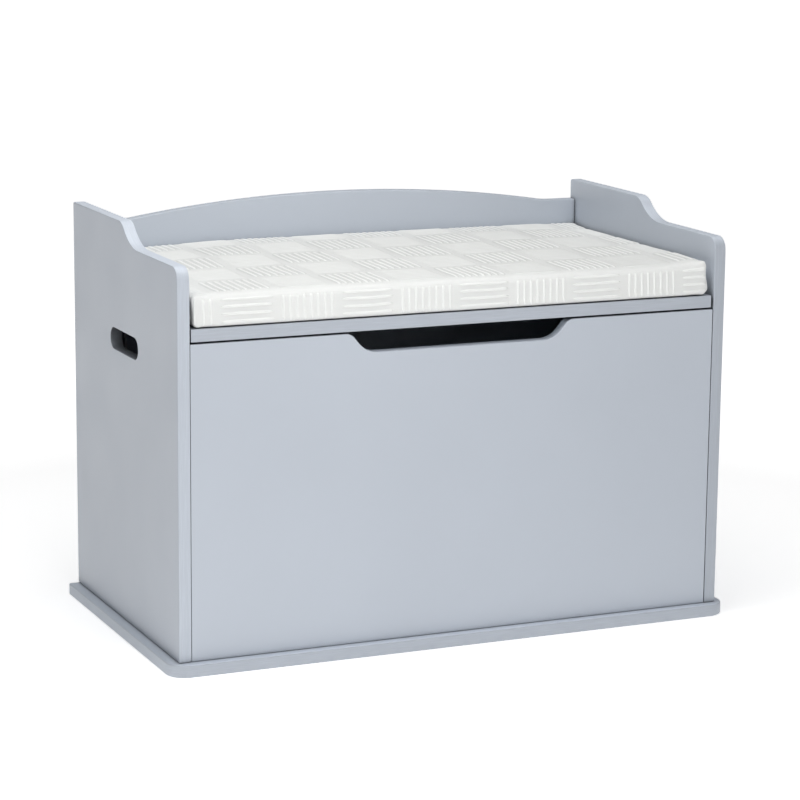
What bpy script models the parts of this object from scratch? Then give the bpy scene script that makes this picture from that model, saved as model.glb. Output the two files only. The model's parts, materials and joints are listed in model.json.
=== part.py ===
"""Children's toy box with a bench seat: a painted board chest with an arched back, curved side
panels with hand holes, a hinged seat lid on two damped stays, and a loose seat cushion.

Metres, +Z up. The front faces -Y and the width runs along X. The origin is on the floor, at the
centre of the base board's footprint.
"""

from math import acos, atan2, cos, pi, radians, sin, sqrt

import bmesh
import bpy
from mathutils import Matrix, Vector

# Gaps
TOUCH = 0.0003  # between pieces that rest on or are screwed to each other
RUNNING = 0.0003  # radial clearance of a pivot in its hole
PAST = 0.001  # how far a cutter runs past the face that it opens

# Carcass
BOARD = 0.015
BODY_WIDTH = 0.704  # over the two side panels
BODY_DEPTH = 0.384  # of a side panel
BODY_HEIGHT = 0.500
BASE_FRONT_OVERHANG = 0.011
BASE_SIDE_OVERHANG = 0.0125
BASE_CORNER = 0.024
BASE_ROUND = 0.0018
EDGE_ROUND = 0.0014

# Side panel outline
ARM_HEIGHT = 0.473  # of its lower, front section
CREST_DEPTH = 0.1775  # from the rear edge to where the upper curve starts
CREST_RADIUS = 0.028
HOLLOW_RADIUS = 0.072
ARM_NOSE_RADIUS = 0.016
REAR_CORNER_RADIUS = 0.003
HAND_HOLE_WIDTH = 0.102
HAND_HOLE_HEIGHT = 0.0255
HAND_HOLE_Z = 0.3555
HAND_HOLE_Y = 0.0035

# Back panel outline
ARCH_TOP = 0.4995
ARCH_RADIUS = 1.780
SHOULDER_HEIGHT = 0.4752
SHOULDER_FILLET = 0.100

# Front panel outline
FRONT_HEIGHT = 0.3852
FRONT_RECESS = 0.0005
NOTCH_HALF_WIDTH = 0.147  # at the panel's top edge
NOTCH_DEPTH = 0.0233
NOTCH_LIP_RADIUS = 0.014
NOTCH_ROOT_RADIUS = 0.030
NOTCH_SLOPE = radians(50)

# Lid
LID_BOTTOM = 0.3872
LID_GAP_LEFT = 0.0013
LID_GAP_RIGHT = 0.0028
LID_ROUND = 0.0012

# Cushion
CUSHION_SIDE_GAP = 0.0008
CUSHION_REAR_GAP = 0.0005
CUSHION_THICKNESS = 0.038
CUSHION_ROUND = 0.009
COVER_CLOTH = 0.0012
ZIP_LENGTH = 0.440
ZIP_WIDTH = 0.002

# Lid hinges
KNUCKLE_RADIUS = 0.003
HINGE_PIN_RADIUS = 0.0014
HINGE_PLATE = 0.0015
HINGE_WIDTH = 0.060
HINGE_X = 0.200
HINGE_DROP = 0.0036  # of the hinge axis below the lid's top
BACK_LEAF_HEIGHT = 0.040
LID_LEAF_DEPTH = 0.032
KNUCKLES = 5
LEAF_DROP = 0.001  # of a flat plate below its knuckles
WEB_OVERLAP = 0.002  # of a knuckle's web with its plate
WEB_INSET = 0.0001
HINGE_PIN_FIT = 0.0001

# Lid stays: arm and link are opposite sides of a parallelogram with the hinge
STAY_PIVOT_FROM_HINGE = (-0.020, -0.100)  # Y and Z
STAY_PIN_FROM_HINGE = (-0.095, -0.028)  # Y and Z
STAY_BAR = 0.0025
STAY_BAR_HALF_WIDTH = 0.0065
STAY_HOUSING = 0.011
HOUSING_HALF_WIDTH = 0.014
HOUSING_BELOW_SCREW = 0.010
HOUSING_ABOVE_SCREW = 0.008
HOUSING_CORNER = 0.008
HOUSING_ROUND = 0.0012
HOUSING_SEAT = 0.0037  # of plastic under a screw's head
HOUSING_POCKET_RADIUS = 0.0051
STAY_SPINDLE_RADIUS = 0.0035
STAY_COLLAR_RADIUS = 0.0055
STAY_COLLAR = 0.0012
STAY_RIVET_RADIUS = 0.0025
RIVET_HEAD_RADIUS = 0.0045
RIVET_HEAD = 0.0012
RIVET_CHAMFER = 0.0005
BRACKET_PLATE = 0.002
BRACKET_REACH = 0.026
BRACKET_HALF_LENGTH = 0.020
BRACKET_TAB_HALF = 0.0075

# Fixings
SMALL_SCREW_LENGTH = 0.012
SMALL_SCREW_RADIUS = 0.00165
SMALL_SCREW_HEAD_RADIUS = 0.0033
SCREW_RIM = 0.0004  # of a countersunk head
SINK_BELOW = 0.0002  # how far a countersink runs below its plate
BASE_SCREW_LENGTH = 0.048
BASE_SCREW_RADIUS = 0.0031
BASE_SCREW_HEAD_RADIUS = 0.005
BASE_SCREW_SINK = 0.0005
CAM_RADIUS = 0.0075
CAM_DEPTH = 0.012
CAM_INSET = 0.024  # from the front panel's end to the cam's centre
CAM_HOLLOW = 0.004  # of a cam's hollow behind its centre
CAM_CROSS = (0.0035, 0.0013, 0.0016)  # reach, width and depth of its driver recess
CAM_BOLT_RADIUS = 0.003
CAM_BOLT_ROOM = 0.0008  # round a bolt, in its bore and in the cam
CAM_BOLT_NECK_RADIUS = 0.0018
CAM_BOLT_NECK = (0.006, 0.002)  # from the cam's centre to the neck's ends
CAM_BOLT_HEAD = 0.001  # of the head beyond the cam's centre
CAM_BOLT_THREAD_RADIUS = 0.0025
CAM_BOLT_THREAD = 0.0105
SMALL_SCREW_CROSS = (0.0019, 0.0007, 0.0012)
BASE_SCREW_KEY_RADIUS = 0.0023
BASE_SCREW_KEY = 0.0025
CROSS_TURN = radians(10)  # of a driver recess about its axis
DOWEL_RADIUS = 0.004
DOWEL_LENGTH = 0.028
DOWEL_CHAMFER = 0.001
DOWEL_IN_SIDE = 0.010
BUMPER_RADIUS = 0.004
BUMPER_X = 0.250

# Places that follow from the sizes above
REAR_Y = (BODY_DEPTH + BASE_FRONT_OVERHANG) / 2
BASE_FRONT_Y = -REAR_Y
SIDE_FRONT_Y = REAR_Y - BODY_DEPTH
SIDE_OUTER_X = BODY_WIDTH / 2
SIDE_INNER_X = SIDE_OUTER_X - BOARD
BACK_FACE_Y = REAR_Y - BOARD
FRONT_FACE_Y = SIDE_FRONT_Y + FRONT_RECESS
FRONT_INNER_Y = FRONT_FACE_Y + BOARD
CARCASS_FOOT = BOARD + TOUCH
LID_TOP = LID_BOTTOM + BOARD
HINGE_Y = BACK_FACE_Y - TOUCH - KNUCKLE_RADIUS
HINGE_Z = LID_TOP - HINGE_DROP
LID_REAR_Y = HINGE_Y - KNUCKLE_RADIUS - TOUCH
LEAF_TOP = HINGE_Z - KNUCKLE_RADIUS - LEAF_DROP
STAY_PIVOT = (HINGE_Y + STAY_PIVOT_FROM_HINGE[0], HINGE_Z + STAY_PIVOT_FROM_HINGE[1])
STAY_PIN = (HINGE_Y + STAY_PIN_FROM_HINGE[0], HINGE_Z + STAY_PIN_FROM_HINGE[1])
STAY_ELBOW = (STAY_PIVOT[0] + STAY_PIN_FROM_HINGE[0], STAY_PIVOT[1] + STAY_PIN_FROM_HINGE[1])
HOUSING_OUTER_X = SIDE_INNER_X - TOUCH
HOUSING_INNER_X = HOUSING_OUTER_X - STAY_HOUSING
HOUSING_SEAT_X = HOUSING_OUTER_X - HOUSING_SEAT
ARM_OUTER_X = HOUSING_INNER_X - TOUCH
ARM_INNER_X = ARM_OUTER_X - STAY_BAR
LINK_INNER_X = ARM_OUTER_X + TOUCH
LINK_OUTER_X = LINK_INNER_X + STAY_BAR

SIDES = {"left": -1, "right": 1}
HOUSING_SCREW_OFFSETS = (-0.030, 0.013)  # along Z from the stay's pivot
BRACKET_SCREW_OFFSETS = (-0.012, 0.012)  # along Y from the stay's pin
HINGE_SCREW_OFFSETS = (-0.019, 0.019)  # along X from the hinge's middle
BACK_LEAF_SCREW_Z = HINGE_Z - 0.024
LID_LEAF_SCREW_Y = HINGE_Y - 0.021
BRACKET_SCREW_X = ARM_OUTER_X - 0.015
CAM_HEIGHTS = {"lower": 0.080, "upper": 0.320}
DOWEL_HEIGHTS = {"lower": 0.100, "upper": 0.350}
BASE_SCREW_YS = {"front": -0.120, "rear": 0.130}

# Object axes laid along world axes
LYING = Matrix.Identity(4)
ACROSS_DEPTH = Matrix(((0, 0, 1, 0), (1, 0, 0, 0), (0, 1, 0, 0), (0, 0, 0, 1)))
ACROSS_WIDTH = Matrix(((1, 0, 0, 0), (0, 0, -1, 0), (0, 1, 0, 0), (0, 0, 0, 1)))


def clear_scene():
    for obj in list(bpy.data.objects):
        bpy.data.objects.remove(obj, do_unlink=True)


def collection(name):
    found = bpy.data.collections.new(name)
    bpy.context.scene.collection.children.link(found)
    return found


clear_scene()
PARTS = collection("toy_box")
CUTTERS = collection("toy_box_cutters")


def material(name, colour, roughness, metallic=0.0):
    made = bpy.data.materials.new(name)
    made.use_nodes = True
    shader = made.node_tree.nodes["Principled BSDF"]
    shader.inputs["Base Color"].default_value = (*colour, 1.0)
    shader.inputs["Roughness"].default_value = roughness
    shader.inputs["Metallic"].default_value = metallic
    made.diffuse_color = (*colour, 1.0)
    return made


PAINT = (0.50, 0.55, 0.62)
ZINC = (0.62, 0.63, 0.65)


def add_part(obj, mat, pivot=None):
    """Puts a finished piece in the object's collection, with its own material."""
    PARTS.objects.link(obj)
    obj.data.materials.clear()
    obj.data.materials.append(mat)
    if pivot is not None:
        obj.parent = pivot
        obj.matrix_parent_inverse = pivot.matrix_basis.inverted()
    return obj


def pivot_empty(name, location):
    empty = bpy.data.objects.new(name, None)
    empty.location = location
    empty.empty_display_size = 0.02
    PARTS.objects.link(empty)
    return empty


def object_from_bmesh(name, bm):
    mesh = bpy.data.meshes.new(name)
    bm.to_mesh(mesh)
    bm.free()
    return bpy.data.objects.new(name, mesh)


def box(name, low, high):
    """A box between two corners, with its origin at its centre and its scale applied."""
    low, high = Vector(low), Vector(high)
    bm = bmesh.new()
    bmesh.ops.create_cube(bm, size=1.0)
    bmesh.ops.scale(bm, vec=high - low, verts=bm.verts)
    obj = object_from_bmesh(name, bm)
    obj.location = (low + high) / 2
    return obj


def add_cylinder(bm, start, end, radius, segments=16, end_radius=None):
    start, end = Vector(start), Vector(end)
    turn = (end - start).to_track_quat("Z", "Y").to_matrix().to_4x4()
    bmesh.ops.create_cone(
        bm,
        cap_ends=True,
        segments=segments,
        radius1=radius,
        radius2=radius if end_radius is None else end_radius,
        depth=(end - start).length,
        matrix=Matrix.Translation((start + end) / 2) @ turn,
    )


def add_box(bm, low, high):
    low, high = Vector(low), Vector(high)
    made = bmesh.ops.create_cube(bm, size=1.0)
    bmesh.ops.scale(bm, vec=high - low, verts=made["verts"])
    bmesh.ops.translate(bm, vec=(low + high) / 2, verts=made["verts"])


def arc(centre, radius, start, end, steps):
    """Points of an arc from one angle to another, in degrees, both ends included."""
    turns = [radians(start + (end - start) * i / steps) for i in range(steps + 1)]
    return [(centre[0] + radius * cos(t), centre[1] + radius * sin(t)) for t in turns]


def rounded_rectangle(low, high, radius, steps=5):
    corners = (
        (high[0] - radius, high[1] - radius, 0),
        (low[0] + radius, high[1] - radius, 90),
        (low[0] + radius, low[1] + radius, 180),
        (high[0] - radius, low[1] + radius, 270),
    )
    points = []
    for x, y, start in corners:
        points += arc((x, y), radius, start, start + 90, steps)
    return points


def slot_outline(start, end, radius, steps=12):
    """A bar or a slot with a round end about each of two points."""
    heading = atan2(end[1] - start[1], end[0] - start[0]) * 180 / pi
    points = arc(end, radius, heading - 90, heading + 90, steps)
    return points + arc(start, radius, heading + 90, heading + 270, steps)


def circle(centre, radius, steps=16):
    return arc(centre, radius, 0, 360, steps)[:-1]


def evaluated_mesh(obj):
    """The mesh that an object shows with its modifiers. The object itself is removed."""
    bpy.context.scene.collection.objects.link(obj)
    graph = bpy.context.evaluated_depsgraph_get()
    mesh = bpy.data.meshes.new_from_object(obj.evaluated_get(graph))
    bpy.data.objects.remove(obj, do_unlink=True)
    return mesh


def plate(name, outlines, thickness, lay=LYING, location=(0, 0, 0)):
    """A flat outline, with any holes, filled as a 2D curve and extruded about its plane."""
    curve = bpy.data.curves.new(name, "CURVE")
    curve.dimensions = "2D"
    curve.fill_mode = "BOTH"
    curve.extrude = thickness / 2
    for outline in outlines:
        spline = curve.splines.new("POLY")
        spline.points.add(len(outline) - 1)
        for point, (x, y) in zip(spline.points, outline):
            point.co = (x, y, 0, 1)
        spline.use_cyclic_u = True
    mesh = evaluated_mesh(bpy.data.objects.new(name, curve))
    bpy.data.curves.remove(curve)
    bm = bmesh.new()
    bm.from_mesh(mesh)
    bmesh.ops.remove_doubles(bm, verts=bm.verts, dist=0.00001)
    bmesh.ops.dissolve_limit(bm, angle_limit=radians(0.2), verts=bm.verts, edges=bm.edges)
    bmesh.ops.recalc_face_normals(bm, faces=bm.faces)
    bpy.data.meshes.remove(mesh)
    obj = object_from_bmesh(name, bm)
    obj.matrix_world = Matrix.Translation(location) @ lay
    return obj


def round_edges(obj, width, segments=2, angle=40):
    bevel = obj.modifiers.new("round_edges", "BEVEL")
    bevel.width = width
    bevel.segments = segments
    bevel.limit_method = "ANGLE"
    bevel.angle_limit = radians(angle)
    bevel.use_clamp_overlap = False
    obj.data.shade_smooth()
    obj.data.set_sharp_from_angle(angle=radians(35))


def boolean(obj, other, operation):
    """Cuts an object by another, or joins the other to it. The other becomes a hidden guide."""
    CUTTERS.objects.link(other)
    other.hide_render = True
    other.display_type = "WIRE"
    modifier = obj.modifiers.new(operation.lower(), "BOOLEAN")
    modifier.operation = operation
    modifier.solver = "EXACT"
    modifier.object = other


def drill(obj, holes, kind="holes"):
    """Cuts round holes, each (start, end, radius) or (start, end, radius, end radius)."""
    bm = bmesh.new()
    for hole in holes:
        add_cylinder(bm, *hole[:3], end_radius=hole[3] if len(hole) > 3 else None)
    boolean(obj, object_from_bmesh(f"{obj.name}_{kind}", bm), "DIFFERENCE")


def countersink(face, inward, thickness):
    """The 45-degree seat of a small screw's head, from a plate's face down through it."""
    face, inward = Vector(face), Vector(inward)
    wide = SMALL_SCREW_HEAD_RADIUS + SCREW_RIM + TOUCH + PAST
    narrow = wide - PAST - thickness - SINK_BELOW
    return face - inward * PAST, face + inward * (thickness + SINK_BELOW), wide, narrow


def turned(name, profile, steps=16):
    """A solid of revolution about Z. The profile runs down its outer side, axis to axis."""
    bm = bmesh.new()
    verts = [bm.verts.new((x, 0, z)) for x, z in profile]
    for upper, lower in zip(verts, verts[1:]):
        bm.edges.new((upper, lower))
    obj = object_from_bmesh(name, bm)
    screw = obj.modifiers.new("turn", "SCREW")
    screw.steps = steps
    screw.render_steps = steps
    screw.use_merge_vertices = True
    screw.merge_threshold = 0.00001
    screw.use_smooth_shade = False
    return obj


def smooth_mesh(obj):
    """The shared mesh of a repeated turned piece."""
    mesh = evaluated_mesh(obj)
    mesh.shade_smooth()
    mesh.set_sharp_from_angle(angle=radians(35))
    return mesh


def place(name, mesh, location, direction):
    """A copy of a turned piece, with its top facing along a direction."""
    turn = Vector(direction).to_track_quat("Z", "Y").to_matrix().to_4x4()
    obj = bpy.data.objects.new(name, mesh.copy())
    obj.matrix_world = Matrix.Translation(location) @ turn
    return obj


def cross_cutter(name, reach, width, depth):
    """A cross recess for a screwdriver, cut down from Z = 0."""
    half = width / 2
    quarter = [(reach, -half), (reach, half), (half, half)]
    points = []
    for turn in range(4):
        angle = turn * pi / 2 + CROSS_TURN
        points += [
            (x * cos(angle) - y * sin(angle), x * sin(angle) + y * cos(angle))
            for x, y in quarter
        ]
    return plate(name, [points], depth * 2)


def screw_mesh(name, length, radius, head_radius, drive):
    """A countersunk wood screw, its head's face at Z = 0 and its point down."""
    shoulder = SCREW_RIM + head_radius - radius
    profile = [
        (0, 0),
        (head_radius, 0),
        (head_radius, -SCREW_RIM),
        (radius, -shoulder),
        (radius, -length + 2 * radius),
        (0, -length),
    ]
    screw = turned(name, profile, steps=12)
    boolean(screw, drive, "DIFFERENCE")
    return smooth_mesh(screw)


# Carcass ------------------------------------------------------------------------------------


def base_board():
    half = SIDE_OUTER_X + BASE_SIDE_OVERHANG
    low = (-half, BASE_FRONT_Y)
    high = (half, REAR_Y)
    front_left = (low[0] + BASE_CORNER, low[1] + BASE_CORNER)
    front_right = (high[0] - BASE_CORNER, low[1] + BASE_CORNER)
    outline = [(high[0], high[1]), (low[0], high[1])]
    outline += arc(front_left, BASE_CORNER, 180, 270, 8)
    outline += arc(front_right, BASE_CORNER, 270, 360, 8)
    board = plate("base_board", [outline], BOARD, location=(0, 0, BOARD / 2))
    round_edges(board, BASE_ROUND, segments=3)
    shanks = []
    heads = []
    cone = BASE_SCREW_HEAD_RADIUS - BASE_SCREW_RADIUS
    shoulder = BASE_SCREW_SINK + SCREW_RIM + cone
    for side in SIDES.values():
        for y in BASE_SCREW_YS.values():
            x = side * (SIDE_OUTER_X - BOARD / 2)
            shanks.append(((x, y, -PAST), (x, y, BOARD + PAST), BASE_SCREW_RADIUS + TOUCH))
            rim = BASE_SCREW_HEAD_RADIUS + TOUCH
            flare = rim + shoulder - cone + PAST
            heads.append(((x, y, -PAST), (x, y, shoulder), flare, rim - cone))
    drill(board, shanks, "shank_holes")
    drill(board, heads, "head_holes")
    return board


def side_outline():
    """Upper rear section, S-curve down to the lower front section, and rounded nose."""
    fall = BODY_HEIGHT - ARM_HEIGHT
    slope = acos(1 - fall / (CREST_RADIUS + HOLLOW_RADIUS)) * 180 / pi
    crest_y = REAR_Y - CREST_DEPTH
    hollow_y = crest_y - (CREST_RADIUS + HOLLOW_RADIUS) * sin(radians(slope))
    rear = (REAR_Y - REAR_CORNER_RADIUS, BODY_HEIGHT - REAR_CORNER_RADIUS)
    nose = (SIDE_FRONT_Y + ARM_NOSE_RADIUS, ARM_HEIGHT - ARM_NOSE_RADIUS)
    outline = [(SIDE_FRONT_Y, CARCASS_FOOT), (REAR_Y, CARCASS_FOOT)]
    outline += arc(rear, REAR_CORNER_RADIUS, 0, 90, 4)
    outline += arc((crest_y, BODY_HEIGHT - CREST_RADIUS), CREST_RADIUS, 90, 90 + slope, 10)
    hollow = arc((hollow_y, ARM_HEIGHT + HOLLOW_RADIUS), HOLLOW_RADIUS, 270 + slope, 270, 14)
    outline += hollow[1:]
    outline += arc(nose, ARM_NOSE_RADIUS, 90, 180, 10)
    return outline


def side_panel(name, side):
    reach = (HAND_HOLE_WIDTH - HAND_HOLE_HEIGHT) / 2
    hole = slot_outline(
        (HAND_HOLE_Y - reach, HAND_HOLE_Z),
        (HAND_HOLE_Y + reach, HAND_HOLE_Z),
        HAND_HOLE_HEIGHT / 2,
    )
    centre_x = side * (SIDE_OUTER_X - BOARD / 2)
    panel = plate(name, [side_outline(), hole], BOARD, ACROSS_DEPTH, (centre_x, 0, 0))
    round_edges(panel, EDGE_ROUND)
    holes = []
    for y in BASE_SCREW_YS.values():
        top = BASE_SCREW_SINK + BASE_SCREW_LENGTH + PAST
        foot = CARCASS_FOOT - PAST
        holes.append(((centre_x, y, foot), (centre_x, y, top), BASE_SCREW_RADIUS + TOUCH))
    inside = side * (SIDE_INNER_X - PAST)
    for z in CAM_HEIGHTS.values():
        y = FRONT_FACE_Y + BOARD / 2
        end = side * (SIDE_INNER_X + CAM_BOLT_THREAD + TOUCH)
        holes.append(((inside, y, z), (end, y, z), CAM_BOLT_THREAD_RADIUS + TOUCH))
    for z in DOWEL_HEIGHTS.values():
        y = REAR_Y - BOARD / 2
        end = side * (SIDE_INNER_X + DOWEL_IN_SIDE + TOUCH)
        holes.append(((inside, y, z), (end, y, z), DOWEL_RADIUS + TOUCH))
    for offset in HOUSING_SCREW_OFFSETS:
        y, z = STAY_PIVOT[0], STAY_PIVOT[1] + offset
        end = side * (SIDE_INNER_X + SMALL_SCREW_LENGTH - PAST)
        holes.append(((inside, y, z), (end, y, z), SMALL_SCREW_RADIUS + TOUCH))
    drill(panel, holes)
    return panel


def notch_outline():
    """Right half of the finger notch, from its flat bottom up to the panel's top edge."""
    arcs = NOTCH_LIP_RADIUS + NOTCH_ROOT_RADIUS
    straight = (NOTCH_DEPTH - arcs * (1 - cos(NOTCH_SLOPE))) / sin(NOTCH_SLOPE)
    run = arcs * sin(NOTCH_SLOPE) + straight * cos(NOTCH_SLOPE)
    slope = NOTCH_SLOPE * 180 / pi
    bottom = FRONT_HEIGHT - NOTCH_DEPTH
    root = (NOTCH_HALF_WIDTH - run, bottom + NOTCH_ROOT_RADIUS)
    lip = (NOTCH_HALF_WIDTH, FRONT_HEIGHT - NOTCH_LIP_RADIUS)
    points = arc(root, NOTCH_ROOT_RADIUS, 270, 270 + slope, 10)
    return points + arc(lip, NOTCH_LIP_RADIUS, 90 + slope, 90, 8)


def front_panel():
    half = SIDE_INNER_X - TOUCH
    right = notch_outline()
    left = [(-x, z) for x, z in reversed(right)]
    outline = [(-half, CARCASS_FOOT), (half, CARCASS_FOOT), (half, FRONT_HEIGHT)]
    outline += list(reversed(right)) + list(reversed(left))
    outline += [(-half, FRONT_HEIGHT)]
    middle_y = FRONT_FACE_Y + BOARD / 2
    panel = plate("front_panel", [outline], BOARD, ACROSS_WIDTH, (0, middle_y, 0))
    round_edges(panel, EDGE_ROUND)
    pockets = []
    bores = []
    for side in SIDES.values():
        for z in CAM_HEIGHTS.values():
            x = side * (half - CAM_INSET)
            floor_y = FRONT_INNER_Y - TOUCH - CAM_DEPTH - TOUCH
            pockets.append(((x, floor_y, z), (x, FRONT_INNER_Y + PAST, z), CAM_RADIUS + TOUCH))
            end = (side * (half + PAST), middle_y, z)
            bores.append(((x, middle_y, z), end, CAM_BOLT_RADIUS + CAM_BOLT_ROOM))
    drill(panel, pockets, "pockets")
    drill(panel, bores, "bores")
    return panel


def back_outline():
    """Right half of the arched top, from the middle out to the panel's end."""
    half = SIDE_INNER_X - TOUCH
    centre_z = ARCH_TOP - ARCH_RADIUS
    fillet_z = SHOULDER_HEIGHT + SHOULDER_FILLET
    fillet_x = sqrt((ARCH_RADIUS + SHOULDER_FILLET) ** 2 - (fillet_z - centre_z) ** 2)
    lean = atan2(fillet_x, fillet_z - centre_z) * 180 / pi
    points = arc((0, centre_z), ARCH_RADIUS, 90, 90 - lean, 16)
    fillet = arc((fillet_x, fillet_z), SHOULDER_FILLET, 270 - lean, 270, 6)
    return points + fillet[1:] + [(half, SHOULDER_HEIGHT)]


def back_panel():
    half = SIDE_INNER_X - TOUCH
    right = back_outline()
    left = [(-x, z) for x, z in reversed(right[1:])]
    outline = [(-half, CARCASS_FOOT), (half, CARCASS_FOOT)]
    outline += list(reversed(right)) + list(reversed(left))
    middle_y = REAR_Y - BOARD / 2
    panel = plate("back_panel", [outline], BOARD, ACROSS_WIDTH, (0, middle_y, 0))
    round_edges(panel, EDGE_ROUND)
    holes = []
    for side in SIDES.values():
        for z in DOWEL_HEIGHTS.values():
            start = side * (SIDE_INNER_X + DOWEL_IN_SIDE - DOWEL_LENGTH - TOUCH)
            end = side * (SIDE_INNER_X + PAST)
            holes.append(((start, middle_y, z), (end, middle_y, z), DOWEL_RADIUS + TOUCH))
        for offset in HINGE_SCREW_OFFSETS:
            x, z = side * HINGE_X + offset, BACK_LEAF_SCREW_Z
            end = BACK_FACE_Y + SMALL_SCREW_LENGTH
            start = BACK_FACE_Y - PAST
            holes.append(((x, start, z), (x, end, z), SMALL_SCREW_RADIUS + TOUCH))
    drill(panel, holes)
    return panel


# Lid and cushion ----------------------------------------------------------------------------


def lid_board():
    low = (-SIDE_INNER_X + LID_GAP_LEFT, FRONT_FACE_Y, LID_BOTTOM)
    high = (SIDE_INNER_X - LID_GAP_RIGHT, LID_REAR_Y, LID_TOP)
    lid = box("lid_board", low, high)
    round_edges(lid, LID_ROUND)
    holes = []
    top = LID_BOTTOM + SMALL_SCREW_LENGTH - HINGE_PLATE + PAST
    for side in SIDES.values():
        for offset in HINGE_SCREW_OFFSETS:
            x, y = side * HINGE_X + offset, LID_LEAF_SCREW_Y
            holes.append(
                ((x, y, LID_BOTTOM - PAST), (x, y, top), SMALL_SCREW_RADIUS + TOUCH)
            )
        for offset in BRACKET_SCREW_OFFSETS:
            x, y = side * BRACKET_SCREW_X, STAY_PIN[0] + offset
            holes.append(
                ((x, y, LID_BOTTOM - PAST), (x, y, top), SMALL_SCREW_RADIUS + TOUCH)
            )
    drill(lid, holes)
    return lid


def cushion_block(name, inset):
    low = Vector(
        (-SIDE_INNER_X + CUSHION_SIDE_GAP + inset, FRONT_FACE_Y + inset, LID_TOP + TOUCH + inset)
    )
    high = Vector(
        (
            SIDE_INNER_X - CUSHION_SIDE_GAP - inset,
            BACK_FACE_Y - CUSHION_REAR_GAP - inset,
            LID_TOP + TOUCH + CUSHION_THICKNESS - inset,
        )
    )
    block = box(name, low, high)
    round_edges(block, CUSHION_ROUND - inset, segments=4)
    return block


def cushion_cover():
    """The sewn cover: a thin shell, open along the zip at the middle of its rear side."""
    cover = cushion_block("cushion_cover", 0)
    boolean(cover, cushion_block("cushion_cover_inside", COVER_CLOTH), "DIFFERENCE")
    middle_z = LID_TOP + TOUCH + CUSHION_THICKNESS / 2
    rear_y = BACK_FACE_Y - CUSHION_REAR_GAP
    low = (-ZIP_LENGTH / 2, rear_y - 2 * COVER_CLOTH, middle_z - ZIP_WIDTH / 2)
    high = (ZIP_LENGTH / 2, rear_y + COVER_CLOTH, middle_z + ZIP_WIDTH / 2)
    boolean(cover, box("cushion_cover_zip", low, high), "DIFFERENCE")
    return cover


def cushion_foam():
    return cushion_block("cushion_foam", COVER_CLOTH + TOUCH)


def bumper(name, side):
    x = side * BUMPER_X
    low = (x, FRONT_FACE_Y + BOARD / 2, FRONT_HEIGHT + TOUCH)
    high = (x, FRONT_FACE_Y + BOARD / 2, LID_BOTTOM - TOUCH)
    bm = bmesh.new()
    add_cylinder(bm, low, high, BUMPER_RADIUS)
    pad = object_from_bmesh(name, bm)
    pad.data.shade_smooth()
    pad.data.set_sharp_from_angle(angle=radians(35))
    return pad


# Lid hinges ---------------------------------------------------------------------------------


def knuckle_spans(first):
    """The X ranges, from the hinge's middle, of every second knuckle."""
    pitch = HINGE_WIDTH / KNUCKLES
    starts = [-HINGE_WIDTH / 2 + pitch * i for i in range(first, KNUCKLES, 2)]
    return [(start + TOUCH / 2, start + pitch - TOUCH / 2) for start in starts]


def hinge_leaf(name, x, outline, spans, plate_y, screw_holes):
    """A folded plate joined to its own knuckles, bored for the pin."""
    leaf = plate(name, [outline], HINGE_WIDTH, ACROSS_DEPTH, (x, 0, 0))
    webs = bmesh.new()
    rolls = bmesh.new()
    web_y = (plate_y[0] + WEB_INSET, plate_y[1] - WEB_INSET)
    web_foot = LEAF_TOP - WEB_OVERLAP
    for low, high in spans:
        web_x = (x + low + WEB_INSET, x + high - WEB_INSET)
        add_box(webs, (web_x[0], web_y[0], web_foot), (web_x[1], web_y[1], HINGE_Z))
        ends = ((x + low, HINGE_Y, HINGE_Z), (x + high, HINGE_Y, HINGE_Z))
        add_cylinder(rolls, *ends, KNUCKLE_RADIUS, segments=20)
    boolean(leaf, object_from_bmesh(name + "_webs", webs), "UNION")
    boolean(leaf, object_from_bmesh(name + "_rolls", rolls), "UNION")
    reach = HINGE_WIDTH / 2 + PAST
    bore = ((x - reach, HINGE_Y, HINGE_Z), (x + reach, HINGE_Y, HINGE_Z))
    drill(leaf, [(*bore, HINGE_PIN_RADIUS + HINGE_PIN_FIT)], "bore")
    drill(leaf, screw_holes, "countersinks")
    leaf.data.shade_smooth()
    leaf.data.set_sharp_from_angle(angle=radians(35))
    return leaf


def back_leaf(name, x):
    """The leaf on the back panel: a plate that hangs down from its knuckles."""
    rear = BACK_FACE_Y - TOUCH
    front = rear - HINGE_PLATE
    foot = HINGE_Z - BACK_LEAF_HEIGHT
    outline = [(front, foot), (rear, foot), (rear, LEAF_TOP), (front, LEAF_TOP)]
    holes = []
    for offset in HINGE_SCREW_OFFSETS:
        face = (x + offset, front, BACK_LEAF_SCREW_Z)
        holes.append(countersink(face, (0, 1, 0), HINGE_PLATE))
    return hinge_leaf(name, x, outline, knuckle_spans(0), (front, rear), holes)


def lid_leaf(name, x):
    """The leaf on the lid: down the lid's rear edge, then forward under the lid."""
    front = LID_REAR_Y + TOUCH
    rear = front + HINGE_PLATE
    under = LID_BOTTOM - TOUCH
    bottom = under - HINGE_PLATE
    tip = HINGE_Y - LID_LEAF_DEPTH
    outline = [(rear, LEAF_TOP), (front, LEAF_TOP), (front, under)]
    outline += [(tip, under), (tip, bottom), (rear, bottom)]
    holes = []
    for offset in HINGE_SCREW_OFFSETS:
        face = (x + offset, LID_LEAF_SCREW_Y, bottom)
        holes.append(countersink(face, (0, 0, 1), HINGE_PLATE))
    return hinge_leaf(name, x, outline, knuckle_spans(1), (front, rear), holes)


def hinge_pin(name, x):
    half = HINGE_WIDTH / 2 - TOUCH
    bm = bmesh.new()
    add_cylinder(bm, (x - half, HINGE_Y, HINGE_Z), (x + half, HINGE_Y, HINGE_Z), HINGE_PIN_RADIUS)
    pin = object_from_bmesh(name, bm)
    pin.data.shade_smooth()
    pin.data.set_sharp_from_angle(angle=radians(35))
    return pin


# Lid stays ----------------------------------------------------------------------------------


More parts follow.
